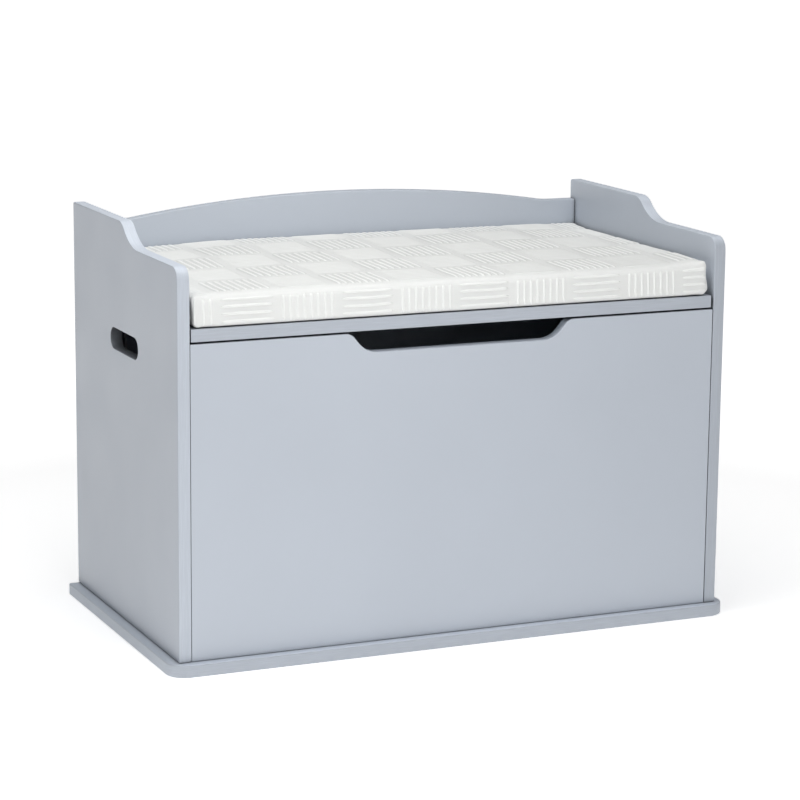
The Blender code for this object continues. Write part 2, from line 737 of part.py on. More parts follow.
def stay_housing(name, side):
    """The damper's housing on the side panel, with the spindle that carries the arm."""
    y, z = STAY_PIVOT
    low = (y - HOUSING_HALF_WIDTH, z + HOUSING_SCREW_OFFSETS[0] - HOUSING_BELOW_SCREW)
    high = (y + HOUSING_HALF_WIDTH, z + HOUSING_SCREW_OFFSETS[1] + HOUSING_ABOVE_SCREW)
    outline = rounded_rectangle(low, high, HOUSING_CORNER)
    middle = side * (HOUSING_OUTER_X + HOUSING_INNER_X) / 2
    housing = plate(name, [outline], STAY_HOUSING, ACROSS_DEPTH, (middle, 0, 0))
    round_edges(housing, HOUSING_ROUND)
    pockets = []
    seats = []
    shanks = []
    for offset in HOUSING_SCREW_OFFSETS:
        at = (y, z + offset)
        face = (side * HOUSING_SEAT_X, *at)
        past_inside = (side * (HOUSING_INNER_X - PAST), *at)
        past_outside = (side * (HOUSING_OUTER_X + PAST), *at)
        pockets.append((past_inside, face, HOUSING_POCKET_RADIUS))
        cone = SMALL_SCREW_HEAD_RADIUS - SMALL_SCREW_RADIUS + SCREW_RIM
        seats.append(countersink(face, (side, 0, 0), cone - SINK_BELOW))
        shanks.append((past_inside, past_outside, SMALL_SCREW_RADIUS + TOUCH))
    drill(housing, pockets, "pockets")
    drill(housing, seats, "countersinks")
    drill(housing, shanks, "screw_holes")
    collar_x = ARM_INNER_X - TOUCH
    root = (side * (HOUSING_INNER_X + 2 * PAST), y, z)
    tip = (side * (collar_x - STAY_COLLAR / 2), y, z)
    shaft = bmesh.new()
    add_cylinder(shaft, root, tip, STAY_SPINDLE_RADIUS)
    boolean(housing, object_from_bmesh(name + "_shaft", shaft), "UNION")
    collar_ends = ((side * collar_x, y, z), (side * (collar_x - STAY_COLLAR), y, z))
    collar = bmesh.new()
    add_cylinder(collar, *collar_ends, STAY_COLLAR_RADIUS)
    boolean(housing, object_from_bmesh(name + "_collar", collar), "UNION")
    return housing


def stay_bar(name, side, start, end, start_radius, end_radius, outer_x):
    """A flat bar with a round end and a pivot hole about each of its two points."""
    outline = slot_outline(start, end, STAY_BAR_HALF_WIDTH)
    holes = [circle(start, start_radius + RUNNING), circle(end, end_radius + RUNNING)]
    middle = side * (outer_x - STAY_BAR / 2)
    bar = plate(name, [outline, *holes], STAY_BAR, ACROSS_DEPTH, (middle, 0, 0))
    bar.data.shade_smooth()
    bar.data.set_sharp_from_angle(angle=radians(35))
    return bar


def lid_bracket(name, side):
    """An angle bracket under the lid, whose tab carries the link's pin."""
    y, z = STAY_PIN
    top = LID_BOTTOM - TOUCH
    outline = [(y + BRACKET_TAB_HALF, top), (y - BRACKET_TAB_HALF, top)]
    outline += arc((y, z), BRACKET_TAB_HALF, 180, 360, 12)
    hole = circle((y, z), STAY_RIVET_RADIUS + RUNNING)
    middle = side * (ARM_OUTER_X - BRACKET_PLATE / 2)
    tab = plate(name, [outline, hole], BRACKET_PLATE, ACROSS_DEPTH, (middle, 0, 0))
    xs = sorted((side * ARM_OUTER_X, side * (ARM_OUTER_X - BRACKET_REACH)))
    low = (xs[0], y - BRACKET_HALF_LENGTH, top - BRACKET_PLATE)
    high = (xs[1], y + BRACKET_HALF_LENGTH, top)
    boolean(tab, box(name + "_foot", low, high), "UNION")
    holes = []
    for offset in BRACKET_SCREW_OFFSETS:
        face = (side * BRACKET_SCREW_X, y + offset, top - BRACKET_PLATE)
        holes.append(countersink(face, (0, 0, 1), BRACKET_PLATE))
    drill(tab, holes)
    tab.data.shade_smooth()
    tab.data.set_sharp_from_angle(angle=radians(35))
    return tab


def rivet_mesh(name, grip):
    """A rivet with a flat head above and below the plates it holds, centred on Z = 0."""
    half = grip / 2 + TOUCH
    head = half + RIVET_HEAD
    profile = [
        (0, head),
        (RIVET_HEAD_RADIUS - RIVET_CHAMFER, head),
        (RIVET_HEAD_RADIUS, head - RIVET_CHAMFER),
        (RIVET_HEAD_RADIUS, half),
        (STAY_RIVET_RADIUS, half),
        (STAY_RIVET_RADIUS, -half),
        (RIVET_HEAD_RADIUS, -half),
        (RIVET_HEAD_RADIUS, -head + RIVET_CHAMFER),
        (RIVET_HEAD_RADIUS - RIVET_CHAMFER, -head),
        (0, -head),
    ]
    return smooth_mesh(turned(name, profile))


# Fixings ------------------------------------------------------------------------------------


def cam_mesh(name):
    """A cam-lock disc: its face at Z = 0, hollow for the bolt's head along +X."""
    profile = [(0, 0), (CAM_RADIUS, 0), (CAM_RADIUS, -CAM_DEPTH), (0, -CAM_DEPTH)]
    cam = turned(name, profile)
    bolt_depth = BOARD / 2 - TOUCH
    half = CAM_BOLT_RADIUS + CAM_BOLT_ROOM
    low = (-CAM_HOLLOW, -half, -bolt_depth - half)
    high = (CAM_RADIUS + PAST, half, -bolt_depth + half)
    boolean(cam, box(name + "_hollow", low, high), "DIFFERENCE")
    boolean(cam, cross_cutter(name + "_drive", *CAM_CROSS), "DIFFERENCE")
    return smooth_mesh(cam)


def cam_bolt_mesh(name):
    """Z = 0 is at the side panel's face: thread above, shaft, neck and head below."""
    centre = CAM_INSET + TOUCH
    neck_start, neck_end = (centre - reach for reach in CAM_BOLT_NECK)
    tip = centre + CAM_BOLT_HEAD
    profile = [
        (0, CAM_BOLT_THREAD),
        (CAM_BOLT_THREAD_RADIUS, CAM_BOLT_THREAD),
        (CAM_BOLT_THREAD_RADIUS, 0),
        (CAM_BOLT_RADIUS, 0),
        (CAM_BOLT_RADIUS, -neck_start),
        (CAM_BOLT_NECK_RADIUS, -neck_start),
        (CAM_BOLT_NECK_RADIUS, -neck_end),
        (CAM_BOLT_RADIUS, -neck_end),
        (CAM_BOLT_RADIUS, -tip),
        (0, -tip),
    ]
    return smooth_mesh(turned(name, profile))


def dowel_mesh(name):
    """A beech dowel with chamfered ends, centred on Z = 0."""
    half = DOWEL_LENGTH / 2
    profile = [
        (0, half),
        (DOWEL_RADIUS - DOWEL_CHAMFER, half),
        (DOWEL_RADIUS, half - DOWEL_CHAMFER),
        (DOWEL_RADIUS, -half + DOWEL_CHAMFER),
        (DOWEL_RADIUS - DOWEL_CHAMFER, -half),
        (0, -half),
    ]
    return smooth_mesh(turned(name, profile))


# Assembly -----------------------------------------------------------------------------------


def build_carcass():
    for name, make in (("base_board", base_board), ("back_panel", back_panel)):
        add_part(make(), material(name, PAINT, 0.45))
    add_part(front_panel(), material("front_panel", PAINT, 0.45))
    for hand, side in SIDES.items():
        name = hand + "_side_panel"
        add_part(side_panel(name, side), material(name, PAINT, 0.45))
        name = "lid_bumper_" + hand
        add_part(bumper(name, side), material(name, (0.035, 0.035, 0.037), 0.7))


def build_lid(pivot):
    add_part(lid_board(), material("lid_board", PAINT, 0.45), pivot)
    add_part(cushion_cover(), material("cushion_cover", (0.78, 0.78, 0.75), 0.9), pivot)
    add_part(cushion_foam(), material("cushion_foam", (0.85, 0.82, 0.70), 0.95), pivot)


def build_hinges(pivot):
    screws = screw_mesh(
        "small_screw",
        SMALL_SCREW_LENGTH,
        SMALL_SCREW_RADIUS,
        SMALL_SCREW_HEAD_RADIUS,
        cross_cutter("small_screw_drive", *SMALL_SCREW_CROSS),
    )
    for hand, side in SIDES.items():
        x = side * HINGE_X
        name = f"hinge_{hand}_back_leaf"
        add_part(back_leaf(name, x), material(name, ZINC, 0.35, 1.0))
        name = f"hinge_{hand}_lid_leaf"
        add_part(lid_leaf(name, x), material(name, ZINC, 0.35, 1.0), pivot)
        name = f"hinge_{hand}_pin"
        add_part(hinge_pin(name, x), material(name, ZINC, 0.25, 1.0))
        for index, offset in enumerate(HINGE_SCREW_OFFSETS):
            name = f"hinge_{hand}_back_screw_{index + 1}"
            spot = (x + offset, BACK_FACE_Y - HINGE_PLATE - TOUCH, BACK_LEAF_SCREW_Z)
            add_part(place(name, screws, spot, (0, -1, 0)), material(name, ZINC, 0.3, 1.0))
            name = f"hinge_{hand}_lid_screw_{index + 1}"
            spot = (x + offset, LID_LEAF_SCREW_Y, LID_BOTTOM - TOUCH - HINGE_PLATE)
            screw = place(name, screws, spot, (0, 0, -1))
            add_part(screw, material(name, ZINC, 0.3, 1.0), pivot)
    return screws


def build_stays(pivot, screws):
    elbow = rivet_mesh("stay_elbow_rivet", 2 * STAY_BAR + TOUCH)
    pin = rivet_mesh("stay_lid_rivet", BRACKET_PLATE + STAY_BAR + TOUCH)
    plastic = (0.80, 0.81, 0.82)
    for hand, side in SIDES.items():
        arm_axis = pivot_empty(f"stay_{hand}_arm_axis", (side * ARM_OUTER_X, *STAY_PIVOT))
        link_axis = pivot_empty(f"stay_{hand}_link_axis", (side * ARM_OUTER_X, *STAY_ELBOW))
        link_axis.parent = arm_axis
        link_axis.matrix_parent_inverse = arm_axis.matrix_basis.inverted()
        name = f"stay_{hand}_housing"
        add_part(stay_housing(name, side), material(name, plastic, 0.5))
        name = f"stay_{hand}_arm"
        radii = (STAY_SPINDLE_RADIUS, STAY_RIVET_RADIUS)
        arm = stay_bar(name, side, STAY_PIVOT, STAY_ELBOW, *radii, ARM_OUTER_X)
        add_part(arm, material(name, ZINC, 0.35, 1.0), arm_axis)
        name = f"stay_{hand}_link"
        radii = (STAY_RIVET_RADIUS, STAY_RIVET_RADIUS)
        link = stay_bar(name, side, STAY_ELBOW, STAY_PIN, *radii, LINK_OUTER_X)
        add_part(link, material(name, ZINC, 0.35, 1.0))
        link.parent = link_axis
        rest = arm_axis.matrix_basis @ link_axis.matrix_parent_inverse @ link_axis.matrix_basis
        link.matrix_parent_inverse = rest.inverted()
        name = f"stay_{hand}_elbow_rivet"
        spot = (side * (ARM_INNER_X + LINK_OUTER_X) / 2, *STAY_ELBOW)
        rivet = place(name, elbow, spot, (side, 0, 0))
        add_part(rivet, material(name, ZINC, 0.25, 1.0), arm_axis)
        name = f"stay_{hand}_lid_bracket"
        add_part(lid_bracket(name, side), material(name, ZINC, 0.35, 1.0), pivot)
        name = f"stay_{hand}_lid_rivet"
        spot = (side * (ARM_OUTER_X - BRACKET_PLATE + LINK_OUTER_X) / 2, *STAY_PIN)
        rivet = place(name, pin, spot, (side, 0, 0))
        add_part(rivet, material(name, ZINC, 0.25, 1.0), pivot)
        for index, offset in enumerate(HOUSING_SCREW_OFFSETS):
            name = f"stay_{hand}_housing_screw_{index + 1}"
            spot = (side * HOUSING_SEAT_X, STAY_PIVOT[0], STAY_PIVOT[1] + offset)
            screw = place(name, screws, spot, (-side, 0, 0))
            add_part(screw, material(name, ZINC, 0.3, 1.0))
        for index, offset in enumerate(BRACKET_SCREW_OFFSETS):
            name = f"stay_{hand}_bracket_screw_{index + 1}"
            foot = LID_BOTTOM - TOUCH - BRACKET_PLATE
            spot = (side * BRACKET_SCREW_X, STAY_PIN[0] + offset, foot)
            screw = place(name, screws, spot, (0, 0, -1))
            add_part(screw, material(name, ZINC, 0.3, 1.0), pivot)


def build_fixings():
    hex_key = bmesh.new()
    ends = ((0, 0, -BASE_SCREW_KEY), (0, 0, PAST))
    add_cylinder(hex_key, *ends, BASE_SCREW_KEY_RADIUS, segments=6)
    base_screws = screw_mesh(
        "base_screw",
        BASE_SCREW_LENGTH,
        BASE_SCREW_RADIUS,
        BASE_SCREW_HEAD_RADIUS,
        object_from_bmesh("base_screw_drive", hex_key),
    )
    cams = cam_mesh("cam")
    bolts = cam_bolt_mesh("cam_bolt")
    dowels = dowel_mesh("dowel")
    for hand, side in SIDES.items():
        for end, y in BASE_SCREW_YS.items():
            name = f"base_screw_{hand}_{end}"
            spot = (side * (SIDE_OUTER_X - BOARD / 2), y, BASE_SCREW_SINK)
            screw = place(name, base_screws, spot, (0, 0, -1))
            add_part(screw, material(name, ZINC, 0.3, 1.0))
        for level, z in CAM_HEIGHTS.items():
            name = f"cam_{hand}_{level}"
            cam = bpy.data.objects.new(name, cams.copy())
            spot = (side * (SIDE_INNER_X - TOUCH - CAM_INSET), FRONT_INNER_Y - TOUCH, z)
            towards_bolt, out = Vector((side, 0, 0)), Vector((0, 1, 0))
            turn = Matrix((towards_bolt, out.cross(towards_bolt), out)).transposed()
            cam.matrix_world = Matrix.Translation(spot) @ turn.to_4x4()
            add_part(cam, material(name, ZINC, 0.4, 1.0))
            name = f"cam_bolt_{hand}_{level}"
            spot = (side * SIDE_INNER_X, FRONT_FACE_Y + BOARD / 2, z)
            add_part(place(name, bolts, spot, (side, 0, 0)), material(name, ZINC, 0.3, 1.0))
        for level, z in DOWEL_HEIGHTS.items():
            name = f"back_dowel_{hand}_{level}"
            middle = side * (SIDE_INNER_X + DOWEL_IN_SIDE - DOWEL_LENGTH / 2)
            spot = (middle, REAR_Y - BOARD / 2, z)
            dowel = place(name, dowels, spot, (side, 0, 0))
            add_part(dowel, material(name, (0.70, 0.52, 0.32), 0.7))


def build():
    lid_axis = pivot_empty("lid_hinge_axis", (0, HINGE_Y, HINGE_Z))
    build_carcass()
    build_lid(lid_axis)
    screws = build_hinges(lid_axis)
    build_stays(lid_axis, screws)
    build_fixings()


build()
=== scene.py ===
"""Looks of a painted toy box with a seat: boards, fittings, a cushion of simulated cloth, a studio."""

import json
from math import cos, pi, radians, sin

import bmesh
import bpy
import numpy as np
from mathutils import Matrix, Vector, noise
from mathutils.bvhtree import BVHTree


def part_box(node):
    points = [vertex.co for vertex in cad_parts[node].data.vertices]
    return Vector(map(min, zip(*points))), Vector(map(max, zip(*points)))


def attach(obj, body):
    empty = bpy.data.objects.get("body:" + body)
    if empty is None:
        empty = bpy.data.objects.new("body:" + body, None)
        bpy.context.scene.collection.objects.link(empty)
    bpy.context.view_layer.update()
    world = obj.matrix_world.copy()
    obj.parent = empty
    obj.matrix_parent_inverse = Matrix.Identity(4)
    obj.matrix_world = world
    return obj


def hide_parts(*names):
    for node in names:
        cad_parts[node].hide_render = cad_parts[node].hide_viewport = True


# Camera: place in metres, turn and drop in degrees, lens in millimetres on a 36 mm sensor.
CAMERA_PLACE = (-1.3643, -3.0764, 0.9480)
CAMERA_AZIMUTH = -23.978
CAMERA_DROP = 11.524
CAMERA_ROLL = 0.552
CAMERA_LENS = 124.97

# Colours are linear light.
PAINT = (0.530, 0.573, 0.638)
CLOTH_GROUND = (0.840, 0.850, 0.835)
CLOTH_CORD = (0.915, 0.925, 0.910)
CLOTH_FLAT_CORD_SHADED = (0.805, 0.815, 0.800)  # of cords that lie across on the top: the cord cloth darkened, as painted shade
CLOTH_VALLEY_PAINTED_SHADE = (0.715, 0.725, 0.710)     # painted shade between cords that lie front to back on the top, and on their sides
CLOTH_TOP_PAINTED_SHADE = 0.965                   # painted shade of the ground on the top
ZINC = (0.62, 0.63, 0.65)
STEEL = (0.50, 0.51, 0.53)
NYLON = (0.70, 0.71, 0.72)
RUBBER = (0.035, 0.035, 0.037)
BEECH_LIGHT = (0.62, 0.42, 0.22)
BEECH_DARK = (0.44, 0.27, 0.13)
FLOOR_WHITE = (0.92, 0.92, 0.92)

# Boards: the axis of the thickness, the reach and depth of the painted shade in their crevices, the share of
# that shade at the foot, and the painted shade on the faces that look forwards and painted light on those
# that look up.
BOARDS = {
    "left_side_panel": dict(axis=0, reach=0.016, depth=0.98, foot=0.85, up=1.19),
    "right_side_panel": dict(axis=0, reach=0.011, depth=0.98, front=0.85, up=1.17),
    "front_panel": dict(axis=1, reach=0.009, depth=0.95, foot=0.45),
    "back_panel": dict(axis=1, reach=0.008, depth=0.90),
    "lid_board": dict(axis=2, reach=0.009, depth=0.95, front=0.87),
    "base_board": dict(axis=2, reach=0.003, depth=0.35, front=0.86, up=1.32),
}
FOOT = 0.018, 0.032         # heights over which the shade's share at the foot ends
ARRIS_RADIUS = 0.0016       # of the boards' edges
ARRIS_WEAR = 0.35           # how thin the lacquer is on them
CREVICE_OPEN = 0.80         # openness from which a place isn't shaded
HARD_EDGE = 32              # degrees between two faces that don't shade as one curve
HOLE_REACH = 0.055, 0.060   # from the middle of a hand hole, past its walls, which carry painted shade
HOLE_WALL_PAINTED_SHADE = 0.15, 0.46     # painted shade on those walls, from the ones that face down to the ones that face up

# Floor: a lit white table. It glows a little more in front of the box's left end and away from the box.
FLOOR_GLOW = 0.52
FRONT_GLOW = 0.56
FRONT_GLOW_PLACE = (-0.55, -0.60, 0)
FRONT_GLOW_REACH = 0.60
FLOOR_RINGS = ((0.9, 1.5, 0.32), (4.0, 6.0, 0.12))  # from, to, added glow
FLOOR_SHADES = (                                    # place, from, to, lost glow
    ((-2.3, 0.0, 0), 1.55, 0.85, 0.58),
    ((1.6, -1.3, 0), 1.40, 0.80, 0.50),
)
FLOOR_HALF = 60.0
AROUND_GLOW = 0.02          # light from the world beyond the floor

# Suns: the way they shine from, spread in degrees and power.
SUNS = {
    "sky": ((0, 0, 1), 60, 0.18),
    "high_front": ((-0.15, -1, 0.6), 50, 0.45),
    "low_front": ((0.2, -1, 0.25), 50, 0.29),
    "low_rear": ((0, 1, 0.12), 60, 0.36),
}
# Soft boxes: place, aim, size, power and beam in degrees.
SOFT_BOXES = {
    "front_box": ((-0.08, -2.5, 0.45), (-0.08, -0.19, 0.25), 0.5, 0.09, 28),
    "overhead": ((-0.2, -0.2, 2.0), (0, 0, 0), 1.8, 21.0, 180),
    "seat_fill": ((-0.22, -0.32, 1.00), (0.05, 0.16, 0.46), 0.4, 1.25, 180),
}

# Cushion: the cover's cloth stands on the foam block that the frame holds.
COVER_INSET = 0.0012        # the cover starts this much smaller than its space
COVER_GAP = 0.0003          # under it
COVER_ROUND = 0.0095        # radius of its long edges
COVER_VOXEL = 0.0045
BOTTOM_SQUARE = 5.0         # powers of the fuller curves of the bottom edges and the upright corners
CORNER_SQUARE = 5.0
CORNER_BLEND = 0.022        # from the corners, where the top edges are fuller too
TINY = 1e-9

SIM_FRAMES = 20
SIM_CLOTH = dict(
    quality=4, mass=0.3, tension_stiffness=12.0, compression_stiffness=12.0, shear_stiffness=4.0,
    bending_stiffness=0.4, use_pressure=True, uniform_pressure_force=4.0,
)
SIM_HELD = 0.6              # share of the bottom edges' radius that is held down
SIDE_SWELL = 0.0014         # how far the cloth may swell

# The sewn cover's shape. Its upper cloth starts above the bottom and is whole below the top.
UPPER_FROM, UPPER_TO = 0.012, 0.003
TOP_LIFT = 0.0014           # of the whole top
CROWN_RISE = 0.0056         # the middle of the top rises towards the rear
CROWN_FRONT, CROWN_REAR = -0.17, 0.13
RIGHT_END_TOP = 0.4432      # height of the top at the ends
RIGHT_END_FRONT_LIFT = 0.0018
RIGHT_END_FRONT = -0.05, -0.12
LEFT_END_TOP = 0.4396
END_REAR_LIFT = 0.0008
END_FRONT_WIDTH = 0.050     # the crown comes to that height over this distance
END_REAR_WIDTH = 0.120
END_SOFT, END_FULL = 0.060, 0.004  # the ends' cloth shifts over this distance
END_INSET = 0.0006
END_BOW = 0.0016            # the ends and the long sides draw in between the corners
END_BOW_MARGIN = 0.02
FRONT_BOW = 0.0010
FRONT_BOW_MARGIN = 0.03
RIM_SOFT = 0.012            # depth of the cloth that shifts with the front and rear faces
RIGHT_CORNER_SHORT = 0.0088  # the front corners stop short of the side panels
RIGHT_CORNER_BULGE = 0.0024
BULGE_HEIGHT, BULGE_WIDTH = 0.010, 0.008
LEFT_CORNER_SHORT = 0.0036
LEFT_CORNER_LEAN = 0.0022
SHORT_REACH = 0.055
EAR_CORE = 0.003            # the sewn corners stand out from this distance, and fade over the next
EAR_REACH = 0.0065
EAR_OUT = 0.0022
EAR_UP = 0.0008
POINT_REACH = 0.0065        # the very tips of the corners are drawn out, above and below
POINT_OUT = 0.0026
POINT_SIDEWAYS = 0.5
POINT_UP = 0.0020
FAN_RADIUS, FAN_WIDTH = 0.015, 0.010  # small folds fan out round the corners
FAN_LIFT = 0.0006
FAN_WAVES, FAN_SHIFT = 9, 1.5
PINCHES = ((1.0, 0.0005, 0.0018), (0.5, 0.0045, 0.0013))  # in the front left corner: share, drop, width
PINCH_REACH = 0.011
PINCH_DEPTH = 0.0016
SOFT_WAVES, SOFT_LIFT = (9.0, 12.0, 20.0), 0.0008
CREASE_WAVES, CREASE_SHIFT = (34.0, 20.0, 46.0), 3.0
CREASE_LIFT, CREASE_OUT = 0.00035, 0.0005
FRONT_LEAN = 0.0010         # the front face leans out over the edge of the seat
HEM_OUT = 0.0012            # and its lower edge hangs past that edge
HEM_DOWN = 0.0011
HEM_DEPTH, HEM_HEIGHT = 0.005, 0.007
HEM_ENDS = 0.010, 0.030

# Cloth pattern: square patches of raised cords that lie across each other by turns.
PATCH = 0.0742
PATCH_CENTRE_X = 0.0293     # centre of one of the patches whose cords run front to back in the first row
PATCH_COLUMNS = range(-5, 6)
PATCH_ROWS = range(7)
FRONT_ROW_DROP = 0.035      # centre of the front face's row of patches, down from the top edge
FLAP_MARGIN = 0.0025        # bare cloth above the bottom
RIM_MARGIN = 0.004          # and along the ends' top edges
CORDS_PER_PATCH = 8
CORD_PITCH = 0.0086
CORD_LENGTH = 0.063
SHORTEST_CORD = 0.006
CORD_STEPS = 14
CORD_WIDTH = 0.0038
CORD_HEIGHT = 0.0012
FLAT_CORD_HEIGHT = 0.0007
REAR_CORD_HEIGHT = 0.0008   # over the rear edge, which comes near the back panel when the lid stands open
REAR_REACH = 0.010
CORD_WANDER = 0.0005
WANDER_WAVES = 38.0
CORD_END_X = 0.3255         # on the front and rear faces
TAPER_STEPS = 1.2           # a strip's ends taper over this many steps, to these shares
END_WIDTH_SHARE, END_HEIGHT_SHARE = 0.45, 0.15
SEAM_STEPS = 16
SEAM_WIDTH = 0.0022
SEAM_HEIGHT = 0.0010
SEAM_FOOT, SEAM_SHORT = 0.003, 0.004  # start above the bottom, and how much shorter than the corner
SEAM_HEART = 0.020, 0.016   # where the lines that find a corner seam start, in from the end and the side
RAY_START, RAY_LENGTH = 0.05, 0.065   # of the lines that find the cover's surface

# Outlines of a strip: shares of its half width and of its height. The second has flat cloth on both sides.
RIDGE = ((-1.0, -0.35), (-0.72, 0.45), (-0.30, 0.93), (0.30, 0.93), (0.72, 0.45), (1.0, -0.35))
RIDGE_AND_VALLEYS = (
    (-2.25, 0.10), (-1.25, 0.12), (-0.95, 0.45), (-0.40, 0.93),
    (0.40, 0.93), (0.95, 0.45), (1.25, 0.12), (2.25, 0.10),
)


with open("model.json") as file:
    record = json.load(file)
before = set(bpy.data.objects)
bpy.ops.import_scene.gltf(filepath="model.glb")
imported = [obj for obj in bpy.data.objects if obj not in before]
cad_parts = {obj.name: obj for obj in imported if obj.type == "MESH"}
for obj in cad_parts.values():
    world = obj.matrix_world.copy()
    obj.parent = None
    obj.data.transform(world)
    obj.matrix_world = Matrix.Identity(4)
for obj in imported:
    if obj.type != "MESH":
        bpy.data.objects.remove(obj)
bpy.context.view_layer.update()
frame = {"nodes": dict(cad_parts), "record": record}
nodes = frame["nodes"]


# ---------------------------------------------------------------- shader helper

class Shader:
    """A material with a Principled BSDF, and short ways to add and join its nodes."""

    def __init__(self, name, **values):
        self.material = bpy.data.materials.new(name)
        self.material.use_nodes = True
        self.tree = self.material.node_tree
        self.bsdf = next(n for n in self.tree.nodes if n.type == "BSDF_PRINCIPLED")
        self.point = self.add("ShaderNodeTexCoord").outputs["Object"]
        for key, value in values.items():
            self.bsdf.inputs[key.replace("_", " ")].default_value = value

    def add(self, kind, **settings):
        node = self.tree.nodes.new(kind)
        for key, value in settings.items():
            setattr(node, key, value)
        return node

    def feed(self, socket, value):
        if isinstance(value, bpy.types.NodeSocket):
            self.tree.links.new(value, socket)
        else:
            socket.default_value = value

    def calc(self, operation, *values):
        node = self.add("ShaderNodeMath", operation=operation)
        for socket, value in zip(node.inputs, values):
            self.feed(socket, value)
        return node.outputs[0]

    def spread(self, value, low, high, to_low=0.0, to_high=1.0, smooth=False):
        """The value moved from one range to another, kept inside it."""
        node = self.add("ShaderNodeMapRange")
        if smooth:
            node.interpolation_type = "SMOOTHSTEP"
        for name, given in (("Value", value), ("From Min", low), ("From Max", high),
                            ("To Min", to_low), ("To Max", to_high)):
            self.feed(node.inputs[name], given)
        return node.outputs["Result"]

    def distance(self, place):
        node = self.add("ShaderNodeVectorMath", operation="DISTANCE")
        self.feed(node.inputs[0], self.point)
        self.feed(node.inputs[1], place)
        return node.outputs["Value"]

    def stretched(self, scale):
        node = self.add("ShaderNodeMapping")
        self.feed(node.inputs["Vector"], self.point)
        self.feed(node.inputs["Scale"], scale)
        return node.outputs["Vector"]

    def parts(self, vector):
        """The X, Y and Z of a vector."""
        node = self.add("ShaderNodeSeparateXYZ")
        self.feed(node.inputs[0], vector)
        return node.outputs

    def facing(self):
        """The X, Y and Z of the way that the surface faces."""
        return self.parts(self.add("ShaderNodeTexCoord").outputs["Normal"])

    def noise(self, scale, detail=2.0, roughness=0.5, vector=None):
        node = self.add("ShaderNodeTexNoise")
        self.feed(node.inputs["Vector"], vector or self.point)
        node.inputs["Scale"].default_value = scale
        node.inputs["Detail"].default_value = detail
        node.inputs["Roughness"].default_value = roughness
        return node.outputs["Fac"]

    def mix(self, share, a, b, blend="MIX"):
        node = self.add("ShaderNodeMix", data_type="RGBA", blend_type=blend)
        self.feed(node.inputs[0], share)
        for socket, value in zip((node.inputs[6], node.inputs[7]), (a, b)):
            self.feed(socket, (*value, 1.0) if isinstance(value, tuple) else value)
        return node.outputs[2]

    def bump(self, height, distance, strength=1.0, under=None):
        node = self.add("ShaderNodeBump")
        node.inputs["Strength"].default_value = strength
        node.inputs["Distance"].default_value = distance
        self.feed(node.inputs["Height"], height)
        if under is not None:
            self.feed(node.inputs["Normal"], under)
        return node.outputs["Normal"]

    def painted_crevice_shade(self, colour, reach, depth):
        """The colour with painted shade where other surfaces stand close around it."""
        node = self.add("ShaderNodeAmbientOcclusion", samples=6)
        node.inputs["Distance"].default_value = reach
        openness = self.spread(node.outputs["AO"], 0.0, CREVICE_OPEN)
        dark = self.calc("MULTIPLY", self.calc("SUBTRACT", 1.0, openness), depth)
        return self.mix(dark, colour, (0.0, 0.0, 0.0))

    def finish(self, **sockets):
        for key, value in sockets.items():
            self.feed(self.bsdf.inputs[key.replace("_", " ")], value)
        return self.material


def shade(colour, factor):
    return tuple(c * factor for c in colour)


# ---------------------------------------------------------------- materials

